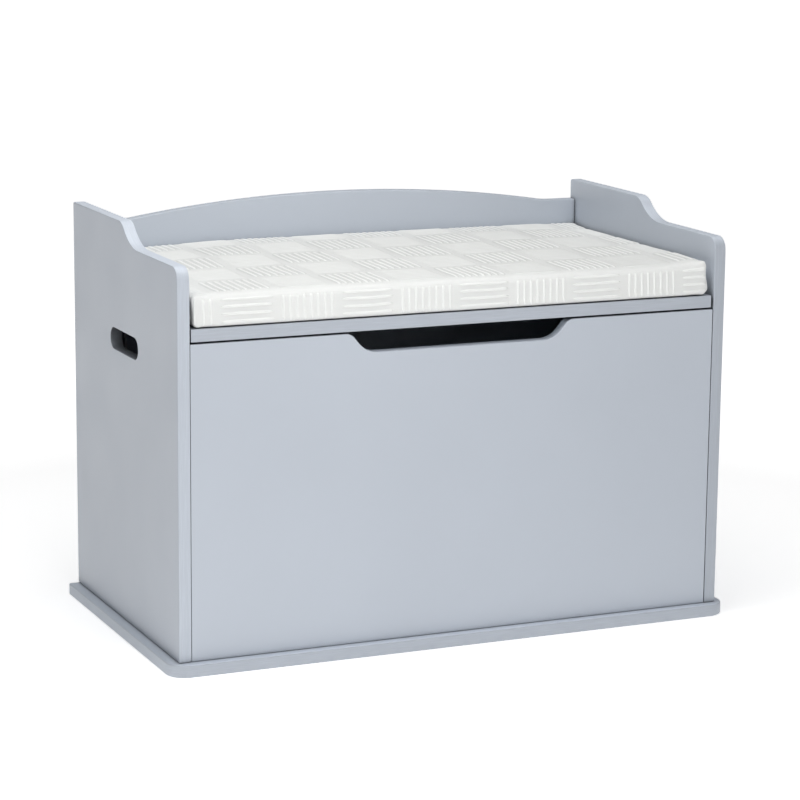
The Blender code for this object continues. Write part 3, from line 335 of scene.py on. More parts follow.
def painted_board(name, axis, reach, depth, foot=1.0, front=1.0, up=1.0, hole=None):
    """Satin lacquer on board. axis is the board's thickness: its two faces are smooth, and fine lines run
    along its edges. Painted shade darkens it where other pieces stand within reach and on the walls of a
    hole, and front and up put painted shade on faces that look forwards and painted light on faces that look
    up."""
    s = Shader(name)
    facing = s.facing()
    edge = s.spread(s.calc("ABSOLUTE", facing[axis]), 0.45, 0.92, 1.0, 0.0, smooth=True)

    cloudy = s.noise(5.0, 3.0)
    coat = s.mix(s.spread(cloudy, 0.3, 0.7), shade(PAINT, 0.985), shade(PAINT, 1.012))
    specks = s.spread(s.noise(420.0, 1.0), 0.70, 0.78, 0.0, 0.10)
    coat = s.mix(specks, coat, shade(PAINT, 0.86))

    rounded = s.add("ShaderNodeBevel", samples=4)
    rounded.inputs["Radius"].default_value = ARRIS_RADIUS
    flat = s.add("ShaderNodeNewGeometry").outputs["Normal"]
    agreement = s.add("ShaderNodeVectorMath", operation="DOT_PRODUCT")
    s.feed(agreement.inputs[0], rounded.outputs["Normal"])
    s.feed(agreement.inputs[1], flat)
    arris = s.spread(agreement.outputs["Value"], 0.93, 0.999, 1.0, 0.0)
    patchy = s.spread(s.noise(60.0, 3.0), 0.35, 0.65)
    thin = s.calc("MULTIPLY", s.calc("MULTIPLY", arris, patchy), ARRIS_WEAR)
    coat = s.mix(thin, coat, shade(PAINT, 1.22))
    along_edges = [30.0, 30.0, 30.0]
    along_edges[axis] = 1100.0
    drag = s.noise(1.0, 3.0, vector=s.stretched(along_edges))
    coat = s.mix(s.calc("MULTIPLY", s.spread(drag, 0.45, 0.65), edge), coat, shade(PAINT, 1.07))
    # Painted shade on the faces that look forwards, and painted light on those that look up.
    forward_shade_mask = s.spread(facing[1], -0.95, -0.55, 1.0, 0.0)
    upward_light_mask = s.spread(facing[2], 0.55, 0.95)
    coat = s.mix(forward_shade_mask, coat, (front,) * 3, "MULTIPLY")
    coat = s.mix(upward_light_mask, coat, (up,) * 3, "MULTIPLY")
    # Painted shade on the walls of the hand hole, darkest where they face down.
    if hole:
        hole_shade = s.calc("MULTIPLY", s.spread(s.distance(hole), *HOLE_REACH, 1.0, 0.0), edge)
        dark, light = (shade(PAINT, tone) for tone in HOLE_WALL_PAINTED_SHADE)
        coat = s.mix(hole_shade, coat, s.mix(s.spread(facing[2], -0.5, 0.8), dark, light))
    # Painted shade in the crevices; near the foot only the share foot of it.
    foot_share = s.spread(s.parts(s.point)[2], *FOOT, foot, 1.0)
    coat = s.painted_crevice_shade(coat, reach, s.calc("MULTIPLY", foot_share, depth))

    peel = s.noise(850.0, 2.0)
    fine = s.bump(peel, 0.00012, 0.30)
    coarse = s.bump(s.calc("MULTIPLY", drag, edge), 0.00030, 0.55, under=fine)
    broad = s.bump(s.noise(22.0, 1.0), 0.0006, 0.10, under=coarse)

    gloss = s.spread(s.noise(14.0, 3.0), 0.3, 0.7, 0.36, 0.44)
    gloss = s.calc("ADD", gloss, s.calc("MULTIPLY", edge, 0.10))
    return s.finish(Base_Color=coat, Roughness=gloss, Normal=broad)


def plated_metal(name, colour, rough, brushed):
    """Plated steel: brushed lines one way, cloudy plating and fine scratches."""
    s = Shader(name, Metallic=1.0)
    clouds = s.noise(90.0, 4.0)
    tint = s.mix(s.spread(clouds, 0.3, 0.7), shade(colour, 0.90), shade(colour, 1.08))
    lines = s.noise(1.0, 2.0, vector=s.stretched(brushed))
    gloss = s.calc("ADD", s.spread(lines, 0.2, 0.8, rough - 0.06, rough + 0.08),
                   s.spread(clouds, 0.4, 0.8, 0.0, 0.06))
    return s.finish(Base_Color=tint, Roughness=gloss, Normal=s.bump(lines, 0.00006, 0.5))


def moulded_nylon(name):
    """Fine spark-eroded grain and a soft sheen."""
    s = Shader(name)
    grain = s.noise(1500.0, 2.0)
    flow = s.noise(40.0, 3.0)
    tint = s.mix(s.spread(flow, 0.3, 0.7), shade(NYLON, 0.96), shade(NYLON, 1.03))
    gloss = s.spread(flow, 0.3, 0.7, 0.42, 0.52)
    return s.finish(Base_Color=tint, Roughness=gloss, Normal=s.bump(grain, 0.00008, 0.6))


def black_rubber(name):
    s = Shader(name)
    bloom = s.noise(300.0, 3.0)
    tint = s.mix(s.spread(bloom, 0.3, 0.7), shade(RUBBER, 0.8), shade(RUBBER, 1.3))
    gloss = s.spread(bloom, 0.3, 0.7, 0.50, 0.66)
    return s.finish(Base_Color=tint, Roughness=gloss, Normal=s.bump(bloom, 0.00008, 0.5))


def raw_beech(name):
    """Grain along X with short dark flecks, as on turned dowels."""
    s = Shader(name)
    grain = s.noise(1.0, 5.0, 0.6, vector=s.stretched((45.0, 900.0, 900.0)))
    flecks = s.spread(s.noise(1.0, 1.0, vector=s.stretched((160.0, 1600.0, 1600.0))), 0.62, 0.70)
    tint = s.mix(s.spread(grain, 0.3, 0.7), BEECH_DARK, BEECH_LIGHT)
    tint = s.mix(s.calc("MULTIPLY", flecks, 0.6), tint, shade(BEECH_DARK, 0.6))
    gloss = s.spread(grain, 0.3, 0.7, 0.62, 0.74)
    return s.finish(Base_Color=tint, Roughness=gloss, Normal=s.bump(grain, 0.0001, 0.6))


def woven_cloth(name, colour, pitch, relief, up=1.0):
    """Plain weave: threads cross over and under each other whichever way a face looks. up is the tone of
    painted shade on the cloth that lies level."""
    s = Shader(name, Sheen_Weight=0.25, Sheen_Roughness=0.5)
    place = s.parts(s.point)
    ripple = s.spread(s.noise(160.0, 2.0), 0.0, 1.0, -0.35, 0.35)
    waves = []
    for axis in range(3):
        turn = s.calc("MULTIPLY", place[axis], 2 * pi / pitch)
        waves.append(s.calc("SINE", s.calc("ADD", turn, ripple)))
    pairs = [s.calc("MULTIPLY", waves[a], waves[b]) for a, b in ((0, 1), (1, 2), (2, 0))]
    weave = s.calc("ADD", s.calc("ADD", pairs[0], pairs[1]), pairs[2])
    level = s.spread(weave, -1.5, 1.5)
    slub = s.spread(s.noise(1.0, 3.0, vector=s.stretched((40.0, 500.0, 500.0))), 0.3, 0.7)
    tint = s.mix(level, shade(colour, 0.95), shade(colour, 1.03))
    tint = s.mix(s.calc("MULTIPLY", slub, 0.35), tint, shade(colour, 0.955))
    # Painted shade on the cloth that lies level.
    tint = s.mix(s.spread(s.facing()[2], 0.75, 0.95), tint, (up,) * 3, "MULTIPLY")
    gloss = s.spread(level, 0.0, 1.0, 0.90, 0.78)
    thread = s.bump(level, relief, 0.7)
    uneven = s.bump(slub, 0.0002, 0.35, under=thread)
    return s.finish(Base_Color=tint, Roughness=gloss, Normal=uneven)


def hole_middles():
    """The middle of each side panel's hand hole, by the panel's name."""
    middles = {}
    for opening in frame["record"]["physics"]["openings"]:
        low, high = opening["box_m"]
        board = opening["name"].replace("hand_hole", "side_panel")
        middles[board] = tuple((a + b) / 2 for a, b in zip(low, high))
    return middles


def dress_frame():
    """Gives every node of the frame its finish, and shades its small triangles as curved surfaces."""
    middles = hole_middles()
    boards = {}
    for name, given in BOARDS.items():
        boards[name] = painted_board(f"painted_{name}", hole=middles.get(name), **given)
    finishes = {
        "zinc_plate": plated_metal("zinc_plate_finish", ZINC, 0.34, (900.0, 60.0, 900.0)),
        "screw_steel": plated_metal("screw_steel_finish", STEEL, 0.30, (700.0, 700.0, 90.0)),
        "stay_plastic": moulded_nylon("nylon_finish"),
        "bumper_rubber": black_rubber("rubber_finish"),
        "beech_wood": raw_beech("beech_finish"),
    }
    soften = shading_group()
    for name, node in nodes.items():
        slot = node.material_slots[0]
        if name in boards:
            slot.material = boards[name]
        elif slot.material.name in finishes:
            slot.material = finishes[slot.material.name]
        node.modifiers.new("smooth_shading", "NODES").node_group = soften
        even = node.modifiers.new("even_normals", "WEIGHTED_NORMAL")
        even.keep_sharp = True
        even.weight = 100


def shading_group():
    """Geometry nodes: joins the loose triangles and shades them smooth, except where they turn sharply."""
    group = bpy.data.node_groups.new("smooth_shading", "GeometryNodeTree")
    group.interface.new_socket("Geometry", in_out="INPUT", socket_type="NodeSocketGeometry")
    group.interface.new_socket("Geometry", in_out="OUTPUT", socket_type="NodeSocketGeometry")
    make, link = group.nodes.new, group.links.new
    start, end = make("NodeGroupInput"), make("NodeGroupOutput")
    weld = make("GeometryNodeMergeByDistance")
    weld.inputs["Distance"].default_value = 0.000002
    drop = make("GeometryNodeRemoveAttribute")
    drop.inputs["Name"].default_value = "custom_normal"
    smooth = make("GeometryNodeSetShadeSmooth")
    angle = make("GeometryNodeInputMeshEdgeAngle")
    sharp = make("FunctionNodeCompare")
    sharp.data_type, sharp.operation = "FLOAT", "GREATER_THAN"
    sharp.inputs[1].default_value = radians(HARD_EDGE)
    crease = make("GeometryNodeSetShadeSmooth")
    crease.domain = "EDGE"
    crease.inputs["Shade Smooth"].default_value = False
    link(start.outputs[0], weld.inputs["Geometry"])
    link(weld.outputs["Geometry"], drop.inputs["Geometry"])
    link(drop.outputs["Geometry"], smooth.inputs["Geometry"])
    link(smooth.outputs["Geometry"], crease.inputs["Geometry"])
    link(angle.outputs["Unsigned Angle"], sharp.inputs[0])
    link(sharp.outputs["Result"], crease.inputs["Selection"])
    link(crease.outputs["Geometry"], end.inputs[0])
    return group


# ---------------------------------------------------------------- mesh helpers

def mesh_object(name, mesh, material):
    piece = bpy.data.objects.new(name, mesh)
    bpy.context.scene.collection.objects.link(piece)
    mesh.materials.clear()
    mesh.materials.append(material)
    return piece


def evaluated(piece):
    """A new mesh with the piece's modifiers applied."""
    bpy.context.view_layer.update()
    graph = bpy.context.evaluated_depsgraph_get()
    return bpy.data.meshes.new_from_object(piece.evaluated_get(graph))


def settle(piece):
    """Applies the piece's modifiers."""
    mesh = evaluated(piece)
    piece.modifiers.clear()
    piece.data = mesh
    return piece


def points_of(mesh):
    flat = np.zeros(len(mesh.vertices) * 3, np.float32)
    mesh.vertices.foreach_get("co", flat)
    return flat.reshape(-1, 3).astype(float)


def set_points(mesh, points):
    mesh.vertices.foreach_set("co", points.astype(np.float32).ravel())
    mesh.update()


def step(low, high, value):
    """0 below low, 1 above high, and a smooth change between."""
    t = np.clip((value - low) / (high - low), 0.0, 1.0)
    return t * t * (3 - 2 * t)


# ---------------------------------------------------------------- cushion

def cushion_block(low, high, material):
    """A closed rounded block in an even net of small faces."""
    bm = bmesh.new()
    bmesh.ops.create_cube(bm, size=1.0)
    size = high - low
    bmesh.ops.scale(bm, vec=size, verts=bm.verts)
    bmesh.ops.translate(bm, vec=(low + high) / 2, verts=bm.verts)
    bmesh.ops.bevel(bm, geom=bm.edges[:], offset=COVER_ROUND, segments=5, profile=0.5, affect="EDGES")
    mesh = bpy.data.meshes.new("cushion_cloth")
    bm.to_mesh(mesh)
    bm.free()
    piece = mesh_object("cushion_cloth", mesh, material)
    net = piece.modifiers.new("net", "REMESH")
    net.mode = "VOXEL"
    net.voxel_size = COVER_VOXEL
    settle(piece)
    set_points(piece.data, fuller_edges(points_of(piece.data), low, high))
    return piece


def squarer(radius, a, b, power):
    """The factor that moves points (a, b) of a round edge out to the squarer curve of that power."""
    return radius / np.maximum((np.abs(a) ** power + np.abs(b) ** power) ** (1 / power), TINY)


def fuller_edges(points, low, high):
    """Moves the round bottom edges and upright corners outwards, to the squarer curve of a filled cover."""
    inner = np.clip(points, np.array(low) + COVER_ROUND, np.array(high) - COVER_ROUND)
    off = points - inner
    plan = np.hypot(off[:, 0], off[:, 1])
    off[:, :2] *= squarer(plan, off[:, 0], off[:, 1], CORNER_SQUARE)[:, None]
    from_middle = np.abs(points[:, 1] - (low.y + high.y) / 2)
    to_corner = np.hypot(np.abs(points[:, 0]) - high.x, from_middle - (high.y - low.y) / 2)
    share = np.where(off[:, 2] < 0, 1.0, bell(to_corner, CORNER_BLEND))
    plan = np.hypot(off[:, 0], off[:, 1])
    fuller = squarer(np.linalg.norm(off, axis=1), plan, off[:, 2], BOTTOM_SQUARE)
    off *= (1 + share * (fuller - 1))[:, None]
    return np.clip(inner + off, np.array(low), np.array(high))


def inflate(piece, low, high):
    """Swells the cover by cloth simulation, with its bottom and corner seams held. Gives where each point
    was, and how far it moved."""
    mesh = piece.data
    start = points_of(mesh)
    held = piece.vertex_groups.new(name="held")
    inner_x, inner_y = high.x - COVER_ROUND, high.y - COVER_ROUND
    centre_y = (low.y + high.y) / 2
    for i, (x, y, z) in enumerate(start):
        at_corner = abs(x) > inner_x and abs(y - centre_y) > inner_y - centre_y
        if z < low.z + COVER_ROUND * SIM_HELD or at_corner:
            held.add([i], 1.0, "REPLACE")
    cloth = piece.modifiers.new("cloth", "CLOTH")
    settings = cloth.settings
    for key, value in SIM_CLOTH.items():
        setattr(settings, key, value)
    settings.effector_weights.gravity = 0.0
    settings.vertex_group_mass = "held"
    cloth.point_cache.frame_start = 1
    cloth.point_cache.frame_end = SIM_FRAMES
    scene = bpy.context.scene
    for number in range(1, SIM_FRAMES + 1):
        scene.frame_set(number)
    swollen = points_of(evaluated(piece))
    piece.modifiers.clear()
    piece.vertex_groups.clear()
    scene.frame_set(1)
    return start, swollen - start


def bell(distance, width):
    return np.exp(-(distance / width) ** 2)


class Cloth:
    """The cover's points on their way from a swollen block to a sewn cushion, and each one's place on it."""

    def __init__(self, points, start, low, high):
        self.x, self.y, self.z = x, y, z = points.T.copy()
        self.start_z = start[:, 2]
        self.low, self.high = low, high
        centre_y = (low.y + high.y) / 2
        self.half_y = (high.y - low.y) / 2
        self.out = np.sign(x)
        self.back = np.sign(y - centre_y)
        self.from_end = high.x - np.abs(x)
        self.from_front = y - low.y
        self.from_rim = self.half_y - np.abs(y - centre_y)
        self.upper = step(low.z + UPPER_FROM, high.z - UPPER_TO, z)
        self.rise = np.clip((z - low.z) / (high.z - low.z), 0, 1)
        self.middle = np.sin(pi * self.rise)
        self.along_end = np.clip(1 - ((y - centre_y) / (self.half_y - END_BOW_MARGIN)) ** 2, 0, 1)
        self.along_front = np.clip(1 - (x / (high.x - FRONT_BOW_MARGIN)) ** 2, 0, 1)
        self.from_seam = np.hypot(self.from_end, self.from_rim)
        self.corner = bell(np.maximum(self.from_seam - EAR_CORE, 0), EAR_REACH)


def raise_top(c):
    """Lifts the top into its crown, and lets it down to its height at each end."""
    crown = TOP_LIFT + CROWN_RISE * step(CROWN_FRONT, CROWN_REAR, c.y)
    towards_rear = step(0, c.half_y, c.y)
    end_width = END_FRONT_WIDTH + (END_REAR_WIDTH - END_FRONT_WIDTH) * towards_rear
    right_end = RIGHT_END_TOP + RIGHT_END_FRONT_LIFT * step(*RIGHT_END_FRONT, c.y)
    end_top = np.where(c.out > 0, right_end, LEFT_END_TOP)
    end_crown = end_top - c.high.z + END_REAR_LIFT * towards_rear
    c.z += c.upper * (crown + (end_crown - crown) * bell(c.from_end, end_width))
    c.z += c.upper * c.corner * EAR_UP


def shorten_ends(c):
    """Draws both ends in between their corners, and further at the front corners."""
    share = step(END_SOFT, END_FULL, c.from_end)
    bulge = bell(c.z - (c.low.z + BULGE_HEIGHT), BULGE_WIDTH)
    right_short = RIGHT_CORNER_SHORT - RIGHT_CORNER_BULGE * bulge
    short = np.where(c.out > 0, right_short, LEFT_CORNER_SHORT - LEFT_CORNER_LEAN * c.rise)
    bow = END_BOW * c.middle * c.along_end
    c.x -= c.out * share * (END_INSET + short * bell(c.from_front, SHORT_REACH) + bow)


def draw_out_corners(c):
    """Pulls the sewn corners out, and their tips further."""
    ear = c.corner * EAR_OUT * (0.5 + 0.5 * c.rise)
    c.x += c.out * ear
    c.y += c.back * ear
    above = c.rise > 0.5
    to_tip = c.start_z - np.where(above, c.high.z, c.low.z)
    tip = bell(np.sqrt(c.from_end ** 2 + c.from_rim ** 2 + to_tip ** 2), POINT_REACH)
    c.x += c.out * tip * POINT_OUT
    c.y += c.back * tip * POINT_OUT * POINT_SIDEWAYS
    c.z += np.where(above, tip, -tip) * POINT_UP


def draw_in_sides(c):
    c.y -= c.back * step(RIM_SOFT, 0.0, c.from_rim) * FRONT_BOW * c.along_front * c.middle


def fold_corners(c):
    """Small folds fan out round the corners, and two pinches lie in the front left one."""
    turn = np.arctan2(c.from_rim, c.from_end)
    fan = bell(c.from_seam - FAN_RADIUS, FAN_WIDTH)
    c.z += c.upper * fan * FAN_LIFT * np.sin(turn * FAN_WAVES + FAN_SHIFT * c.out)
    pinch = sum(share * bell(c.z - (c.high.z - drop), width) for share, drop, width in PINCHES)
    c.y += pinch * bell(c.from_end, PINCH_REACH) * PINCH_DEPTH * (c.back < 0) * (c.out < 0)


def crease(c):
    """Gives the upper cloth soft waves and fine creases, and the lower cloth the creases alone."""
    def ripple(place, waves, shift):
        x, y, z = (at * wave for at, wave in zip(place, waves))
        return noise.noise(Vector((x, y, z + shift)))

    for i, place in enumerate(zip(c.x, c.y, c.z)):
        soft = ripple(place, SOFT_WAVES, 0.0)
        fine = ripple(place, CREASE_WAVES, CREASE_SHIFT)
        c.z[i] += c.upper[i] * (SOFT_LIFT * soft + CREASE_LIFT * fine)
        c.y[i] += (1 - c.upper[i]) * CREASE_OUT * fine * (c.from_rim[i] < RIM_SOFT)


def hang_front(c):
    """Lays the cover in its space, then leans its front face and hangs the hem over the edge of the seat."""
    c.z = np.maximum(c.z, c.low.z)
    c.x = np.clip(c.x, c.low.x, c.high.x)
    c.y -= FRONT_LEAN * step(RIM_SOFT, 0.0, c.from_front) * (1 - c.upper)
    c.y = np.clip(c.y, c.low.y - FRONT_LEAN, c.high.y)
    at_front = step(HEM_DEPTH, 0.0, c.from_front)
    hem = at_front * step(c.low.z + HEM_HEIGHT, c.low.z, c.z) * step(*HEM_ENDS, c.from_end)
    c.y -= HEM_OUT * hem
    c.z -= HEM_DOWN * hem


def shape_cover(piece, start, moved, low, high):
    """Caps the swelling, then gives the cover the shape of a sewn cushion."""
    length = np.linalg.norm(moved, axis=1)
    limited = SIDE_SWELL * np.tanh(length / SIDE_SWELL)
    points = start + moved * (limited / np.maximum(length, TINY))[:, None]
    c = Cloth(points, start, low, high)
    raise_top(c)
    shorten_ends(c)
    draw_out_corners(c)
    draw_in_sides(c)
    fold_corners(c)
    crease(c)
    hang_front(c)
    set_points(piece.data, np.stack([c.x, c.y, c.z], axis=1))
    finer = piece.modifiers.new("finer", "SUBSURF")
    finer.levels = finer.render_levels = 1
    settle(piece)
    for face in piece.data.polygons:
        face.use_smooth = True


class Cover:
    """Finds points on the finished cover from places on its cloth, which wraps over the top's four edges."""

    def __init__(self, piece, low, high):
        mesh = piece.data
        places = [v.co for v in mesh.vertices]
        self.tree = BVHTree.FromPolygons(places, [tuple(p.vertices) for p in mesh.polygons])
        self.low, self.high = low, high
        self.arc = COVER_ROUND * pi / 2

    def fold(self, beyond):
        """How far past the flat top a place on the cloth lies: (angle of the wrap, drop below it)."""
        if beyond < self.arc:
            return beyond / COVER_ROUND, 0.0
        return pi / 2, beyond - self.arc

    def hit(self, point, way):
        """The first point of the cover met from outside along -way, with its outward normal, or None."""
        place, normal, _, _ = self.tree.ray_cast(point + way * RAY_START, -way, RAY_LENGTH)
        if place is None:
            return None
        return place, normal if normal.dot(way) > 0 else -normal

    def at(self, u, v):
        """The place on the cover of cloth distances u and v, measured along X and Y from the origin."""
        inner_low = self.low + Vector((COVER_ROUND, COVER_ROUND, 0))
        inner_high = self.high - Vector((COVER_ROUND, COVER_ROUND, 0))
        over_x = max(u - inner_high.x, inner_low.x - u)
        over_y = max(v - inner_high.y, inner_low.y - v)
        angle, drop, out, base = 0.0, 0.0, Vector((0, 0, 0)), Vector((u, v, 0))
        if over_x > over_y and over_x > 0:
            angle, drop = self.fold(over_x)
            out = Vector((1 if u > 0 else -1, 0, 0))
            base.x = inner_high.x if u > 0 else inner_low.x
        elif over_y > 0:
            angle, drop = self.fold(over_y)
            out = Vector((0, 1 if v > inner_high.y else -1, 0))
            base.y = inner_high.y if v > inner_high.y else inner_low.y
        base.z = self.high.z - COVER_ROUND - drop
        return self.hit(base, out * sin(angle) + Vector((0, 0, 1)) * cos(angle))

    def corner(self, side, back, height, aside):
        """The place on a vertical corner seam, at a height and a distance to one side of it."""
        out = Vector((side, back, 0)).normalized()
        across = Vector((-out.y, out.x, 0))
        in_x, in_y = SEAM_HEART
        centre_y = self.high.y - in_y if back > 0 else self.low.y + in_y
        inner = Vector((side * (self.high.x - in_x), centre_y, height))
        return self.hit(inner + across * aside, out)


def strip(bm, place, count, width, height, profile=RIDGE, body=0, sides=0):
    """A low ridge on the cover that tapers at both ends. place(t, aside) gives a point and a normal."""
    rings = []
    for i in range(count + 1):
        t = i / count
        fade = min(1.0, min(t, 1 - t) * count / TAPER_STEPS)
        half = width / 2 * (END_WIDTH_SHARE + (1 - END_WIDTH_SHARE) * fade)
        found = [place(t, offset * half) for offset, _ in profile]
        if None in found:
            continue
        lift = END_HEIGHT_SHARE + (1 - END_HEIGHT_SHARE) * fade
        lifts = [height * (up if up < 0 else up * lift) for _, up in profile]
        rings.append([bm.verts.new(hit + normal * lift) for (hit, normal), lift in zip(found, lifts)])
    for a, b in zip(rings, rings[1:]):
        for k in range(len(a) - 1):
            face = bm.faces.new((a[k], a[k + 1], b[k + 1], b[k]))
            inner = 1 < k < len(a) - 3 if sides else True
            face.material_index = body if inner else sides
    if len(rings) > 1:
        bm.faces.new(rings[0]).material_index = sides
        bm.faces.new(rings[-1]).material_index = sides


def cord(bm, cover, start, end):
    """One raised cord between two places on the cloth. It wanders a little, as loose yarn does."""
    along = Vector((end[0] - start[0], end[1] - start[1], 0))
    across = Vector((along.y, -along.x, 0)).normalized()

    def place(t, aside):
        u = start[0] + along.x * t
        v = start[1] + along.y * t
        aside += CORD_WANDER * noise.noise(Vector((u * WANDER_WAVES, v * WANDER_WAVES, 7.0)))
        return cover.at(u + across.x * aside, v + across.y * aside)

    at_rear = max(start[1], end[1]) > cover.high.y - REAR_REACH
    height = REAR_CORD_HEIGHT if at_rear else CORD_HEIGHT
    on_top = cover.low.y < (start[1] + end[1]) / 2 < cover.high.y
    if on_top and abs(start[0]) < cover.high.x and abs(along.y) > abs(along.x):
        # Painted shade: beside and on the sides of cords that run front to back on the top lies the darker
        # valley cloth, and cords that lie across the top are a darker copy of the cord cloth.
        strip(bm, place, CORD_STEPS, CORD_WIDTH, height, RIDGE_AND_VALLEYS, 0, 2)
    elif on_top:
        strip(bm, place, CORD_STEPS, CORD_WIDTH, FLAT_CORD_HEIGHT, RIDGE, 1)
    else:
        strip(bm, place, CORD_STEPS, CORD_WIDTH, height)


def cord_runs(low, high):
    """Start and end, on the cloth, of every cord of the pattern. The cloth has its four corners cut out."""
    arc_saving = COVER_ROUND * (2 - pi / 2)
    flap = high.z - low.z - FLAP_MARGIN - arc_saving
    far_x = high.x + flap
    front_row = low.y - FRONT_ROW_DROP + arc_saving
    rim_low, rim_high = low.y + RIM_MARGIN, high.y - RIM_MARGIN
    for column in PATCH_COLUMNS:
        for row in PATCH_ROWS:
            centre_u = PATCH_CENTRE_X + column * PATCH
            centre_v = front_row + row * PATCH
            for k in range(CORDS_PER_PATCH):
                aside = (k - (CORDS_PER_PATCH - 1) / 2) * CORD_PITCH
                if (column + row) % 2:
                    u = centre_u + aside
                    on_flap = abs(u) > CORD_END_X
                    least, most = (rim_low, rim_high) if on_flap else (low.y - flap, high.y + flap)
                    a, b = max(centre_v - CORD_LENGTH / 2, least), min(centre_v + CORD_LENGTH / 2, most)
                    if abs(u) < far_x and b - a > SHORTEST_CORD:
                        yield (u, a), (u, b)
                else:
                    v = centre_v + aside
                    most = far_x if rim_low < v < rim_high else CORD_END_X
                    a, b = max(centre_u - CORD_LENGTH / 2, -most), min(centre_u + CORD_LENGTH / 2, most)
                    if low.y - flap < v < high.y + flap and b - a > SHORTEST_CORD:
                        yield (a, v), (b, v)


def raised_work(name, draw, *materials):
    """A piece made of strips that draw(bm) adds. Their faces' numbers pick among the materials."""
    bm = bmesh.new()
    draw(bm)
    bmesh.ops.recalc_face_normals(bm, faces=bm.faces)
    mesh = bpy.data.meshes.new(name)
    bm.to_mesh(mesh)
    bm.free()
    for face in mesh.polygons:
        face.use_smooth = True
    picked = [face.material_index for face in mesh.polygons]
    piece = mesh_object(name, mesh, materials[0])
    for material in materials[1:]:
        mesh.materials.append(material)
    mesh.polygons.foreach_set("material_index", picked)
    return piece


def cushion_cords(cover, low, high, *materials):
    def draw(bm):
        for start, end in cord_runs(low, high):
            cord(bm, cover, start, end)
    return raised_work("cushion_cords", draw, *materials)


def cushion_seams(cover, low, high, *materials):
    """The four corner seams, from the bottom up to the ears."""
    def draw(bm):
        for side in (-1, 1):
            for back in (-1, 1):
                def place(t, aside):
                    height = low.z + SEAM_FOOT + t * (high.z - low.z - SEAM_SHORT)
                    return cover.corner(side, back, height, aside)
                strip(bm, place, SEAM_STEPS, SEAM_WIDTH, SEAM_HEIGHT)
    return raised_work("cushion_seams", draw, *materials)


def make_cushion():
    low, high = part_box("cushion_cover")
    low = low + Vector((COVER_INSET, COVER_INSET, COVER_GAP))
    high = high - Vector((COVER_INSET, COVER_INSET, COVER_INSET))
    ground = woven_cloth("cushion_ground_cloth", CLOTH_GROUND, 0.0011, 0.00010, up=CLOTH_TOP_PAINTED_SHADE)
    raised = woven_cloth("cushion_cord_cloth", CLOTH_CORD, 0.0008, 0.00010)
    piece = cushion_block(low, high, ground)
    start, moved = inflate(piece, low, high)
    shape_cover(piece, start, moved, low, high)
    cover = Cover(piece, low, high)
    # Darker copies of the cloth for the flat cords and the valleys on the top, as painted shade.
    flat = woven_cloth("cushion_flat_cord_cloth", CLOTH_FLAT_CORD_SHADED, 0.0008, 0.00006)
    valley_shade = woven_cloth("cushion_valley_cloth", CLOTH_VALLEY_PAINTED_SHADE, 0.0011, 0.00006)
    cords = cushion_cords(cover, low, high, raised, flat, valley_shade)
    seams = cushion_seams(cover, low, high, raised)
    for soft in (piece, cords, seams):
        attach(soft, "cushion")
    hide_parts("cushion_cover", "cushion_foam")


# ---------------------------------------------------------------- studio

def make_camera():
    turn, drop, roll = radians(CAMERA_AZIMUTH), radians(CAMERA_DROP), radians(CAMERA_ROLL)
    back = Vector((sin(turn) * cos(drop), -cos(turn) * cos(drop), sin(drop)))
    level = Vector((0, 0, 1)).cross(back).normalized()
    upright = back.cross(level)
    right = level * cos(roll) + upright * sin(roll)
    up = upright * cos(roll) - level * sin(roll)
    data = bpy.data.cameras.new("camera")
    data.lens = CAMERA_LENS
    data.clip_end = 200.0
    camera = bpy.data.objects.new("camera", data)
    bpy.context.scene.collection.objects.link(camera)
    camera.matrix_world = Matrix((
        (right.x, up.x, back.x, CAMERA_PLACE[0]),
        (right.y, up.y, back.y, CAMERA_PLACE[1]),
        (right.z, up.z, back.z, CAMERA_PLACE[2]),
        (0, 0, 0, 1)))
    bpy.context.scene.camera = camera


def add_light(name, data, way):
    """Links a light that shines from the side that way points to."""
    light = bpy.data.objects.new(name, data)
    bpy.context.scene.collection.objects.link(light)
    light.rotation_mode = "QUATERNION"
    light.rotation_quaternion = (-Vector(way)).to_track_quat("-Z", "Y")
    return light


def soft_light(name, place, aim, size, power, beam):
    data = bpy.data.lights.new(name, "AREA")
    data.spread = radians(beam)
    data.shape = "SQUARE"
    data.size = size
    data.energy = power
    add_light(name, data, Vector(place) - Vector(aim)).location = place


def sun_light(name, way, spread, power):
    data = bpy.data.lights.new(name, "SUN")
    data.angle = radians(spread)
    data.energy = power
    add_light(name, data, way)


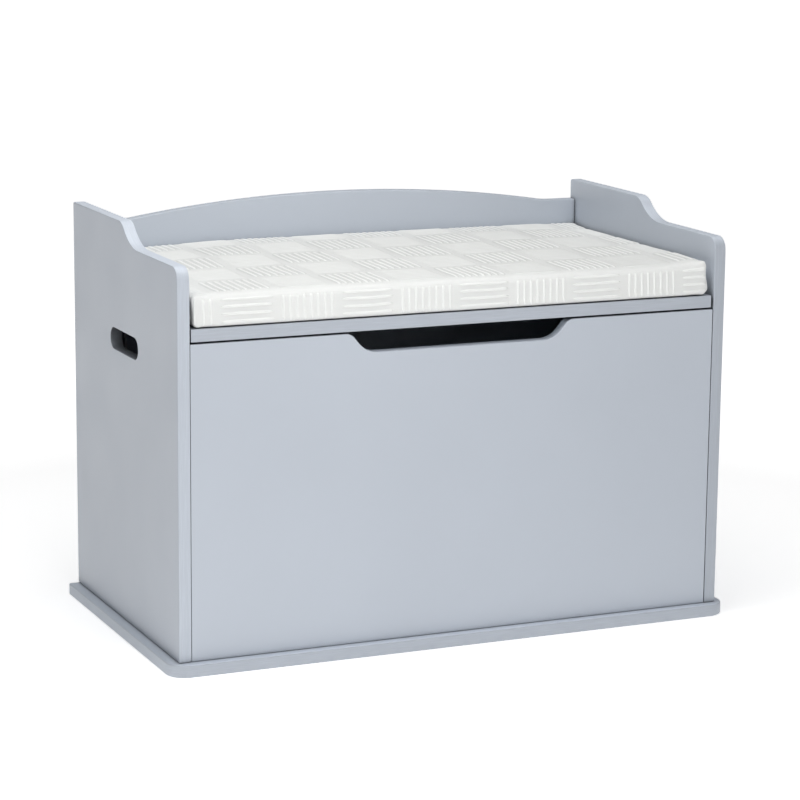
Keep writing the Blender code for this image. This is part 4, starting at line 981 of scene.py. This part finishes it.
def make_floor():
    bm = bmesh.new()
    bmesh.ops.create_grid(bm, x_segments=8, y_segments=8, size=FLOOR_HALF)
    mesh = bpy.data.meshes.new("floor")
    bm.to_mesh(mesh)
    bm.free()
    s = Shader("floor_white", Roughness=0.9, Emission_Color=(1, 1, 1, 1))
    s.bsdf.inputs["Specular IOR Level"].default_value = 0.1
    tone = s.mix(s.noise(0.8, 2.0), shade(FLOOR_WHITE, 0.995), FLOOR_WHITE)
    from_front = s.distance(FRONT_GLOW_PLACE)
    glow = s.spread(from_front, 0.0, FRONT_GLOW_REACH, FLOOR_GLOW + FRONT_GLOW, FLOOR_GLOW)
    for start, end, added in FLOOR_RINGS:
        glow = s.calc("ADD", glow, s.spread(s.distance((0, 0, 0)), start, end, 0.0, added))
    for place, start, end, lost in FLOOR_SHADES:
        glow = s.calc("SUBTRACT", glow, s.spread(s.distance(place), start, end, 0.0, lost))
    floor = mesh_object("floor", mesh, s.finish(Base_Color=tone, Emission_Strength=glow))


def make_world():
    """White where the camera sees it, and nearly dark as a light."""
    world = bpy.data.worlds.new("studio")
    bpy.context.scene.world = world
    world.use_nodes = True
    tree = world.node_tree
    around = tree.nodes["Background"]
    around.inputs["Color"].default_value = (1, 1, 1, 1)
    around.inputs["Strength"].default_value = AROUND_GLOW
    seen = tree.nodes.new("ShaderNodeBackground")
    seen.inputs["Color"].default_value = (1, 1, 1, 1)
    choose = tree.nodes.new("ShaderNodeMixShader")
    path = tree.nodes.new("ShaderNodeLightPath")
    tree.links.new(path.outputs["Is Camera Ray"], choose.inputs[0])
    tree.links.new(around.outputs[0], choose.inputs[1])
    tree.links.new(seen.outputs[0], choose.inputs[2])
    tree.links.new(choose.outputs[0], tree.nodes["World Output"].inputs["Surface"])


def make_studio():
    make_floor()
    make_world()
    for name, given in SUNS.items():
        sun_light(name, *given)
    for name, given in SOFT_BOXES.items():
        soft_light(name, *given)
    bpy.context.scene.view_settings.view_transform = "Standard"


make_camera()
make_studio()
dress_frame()
make_cushion()
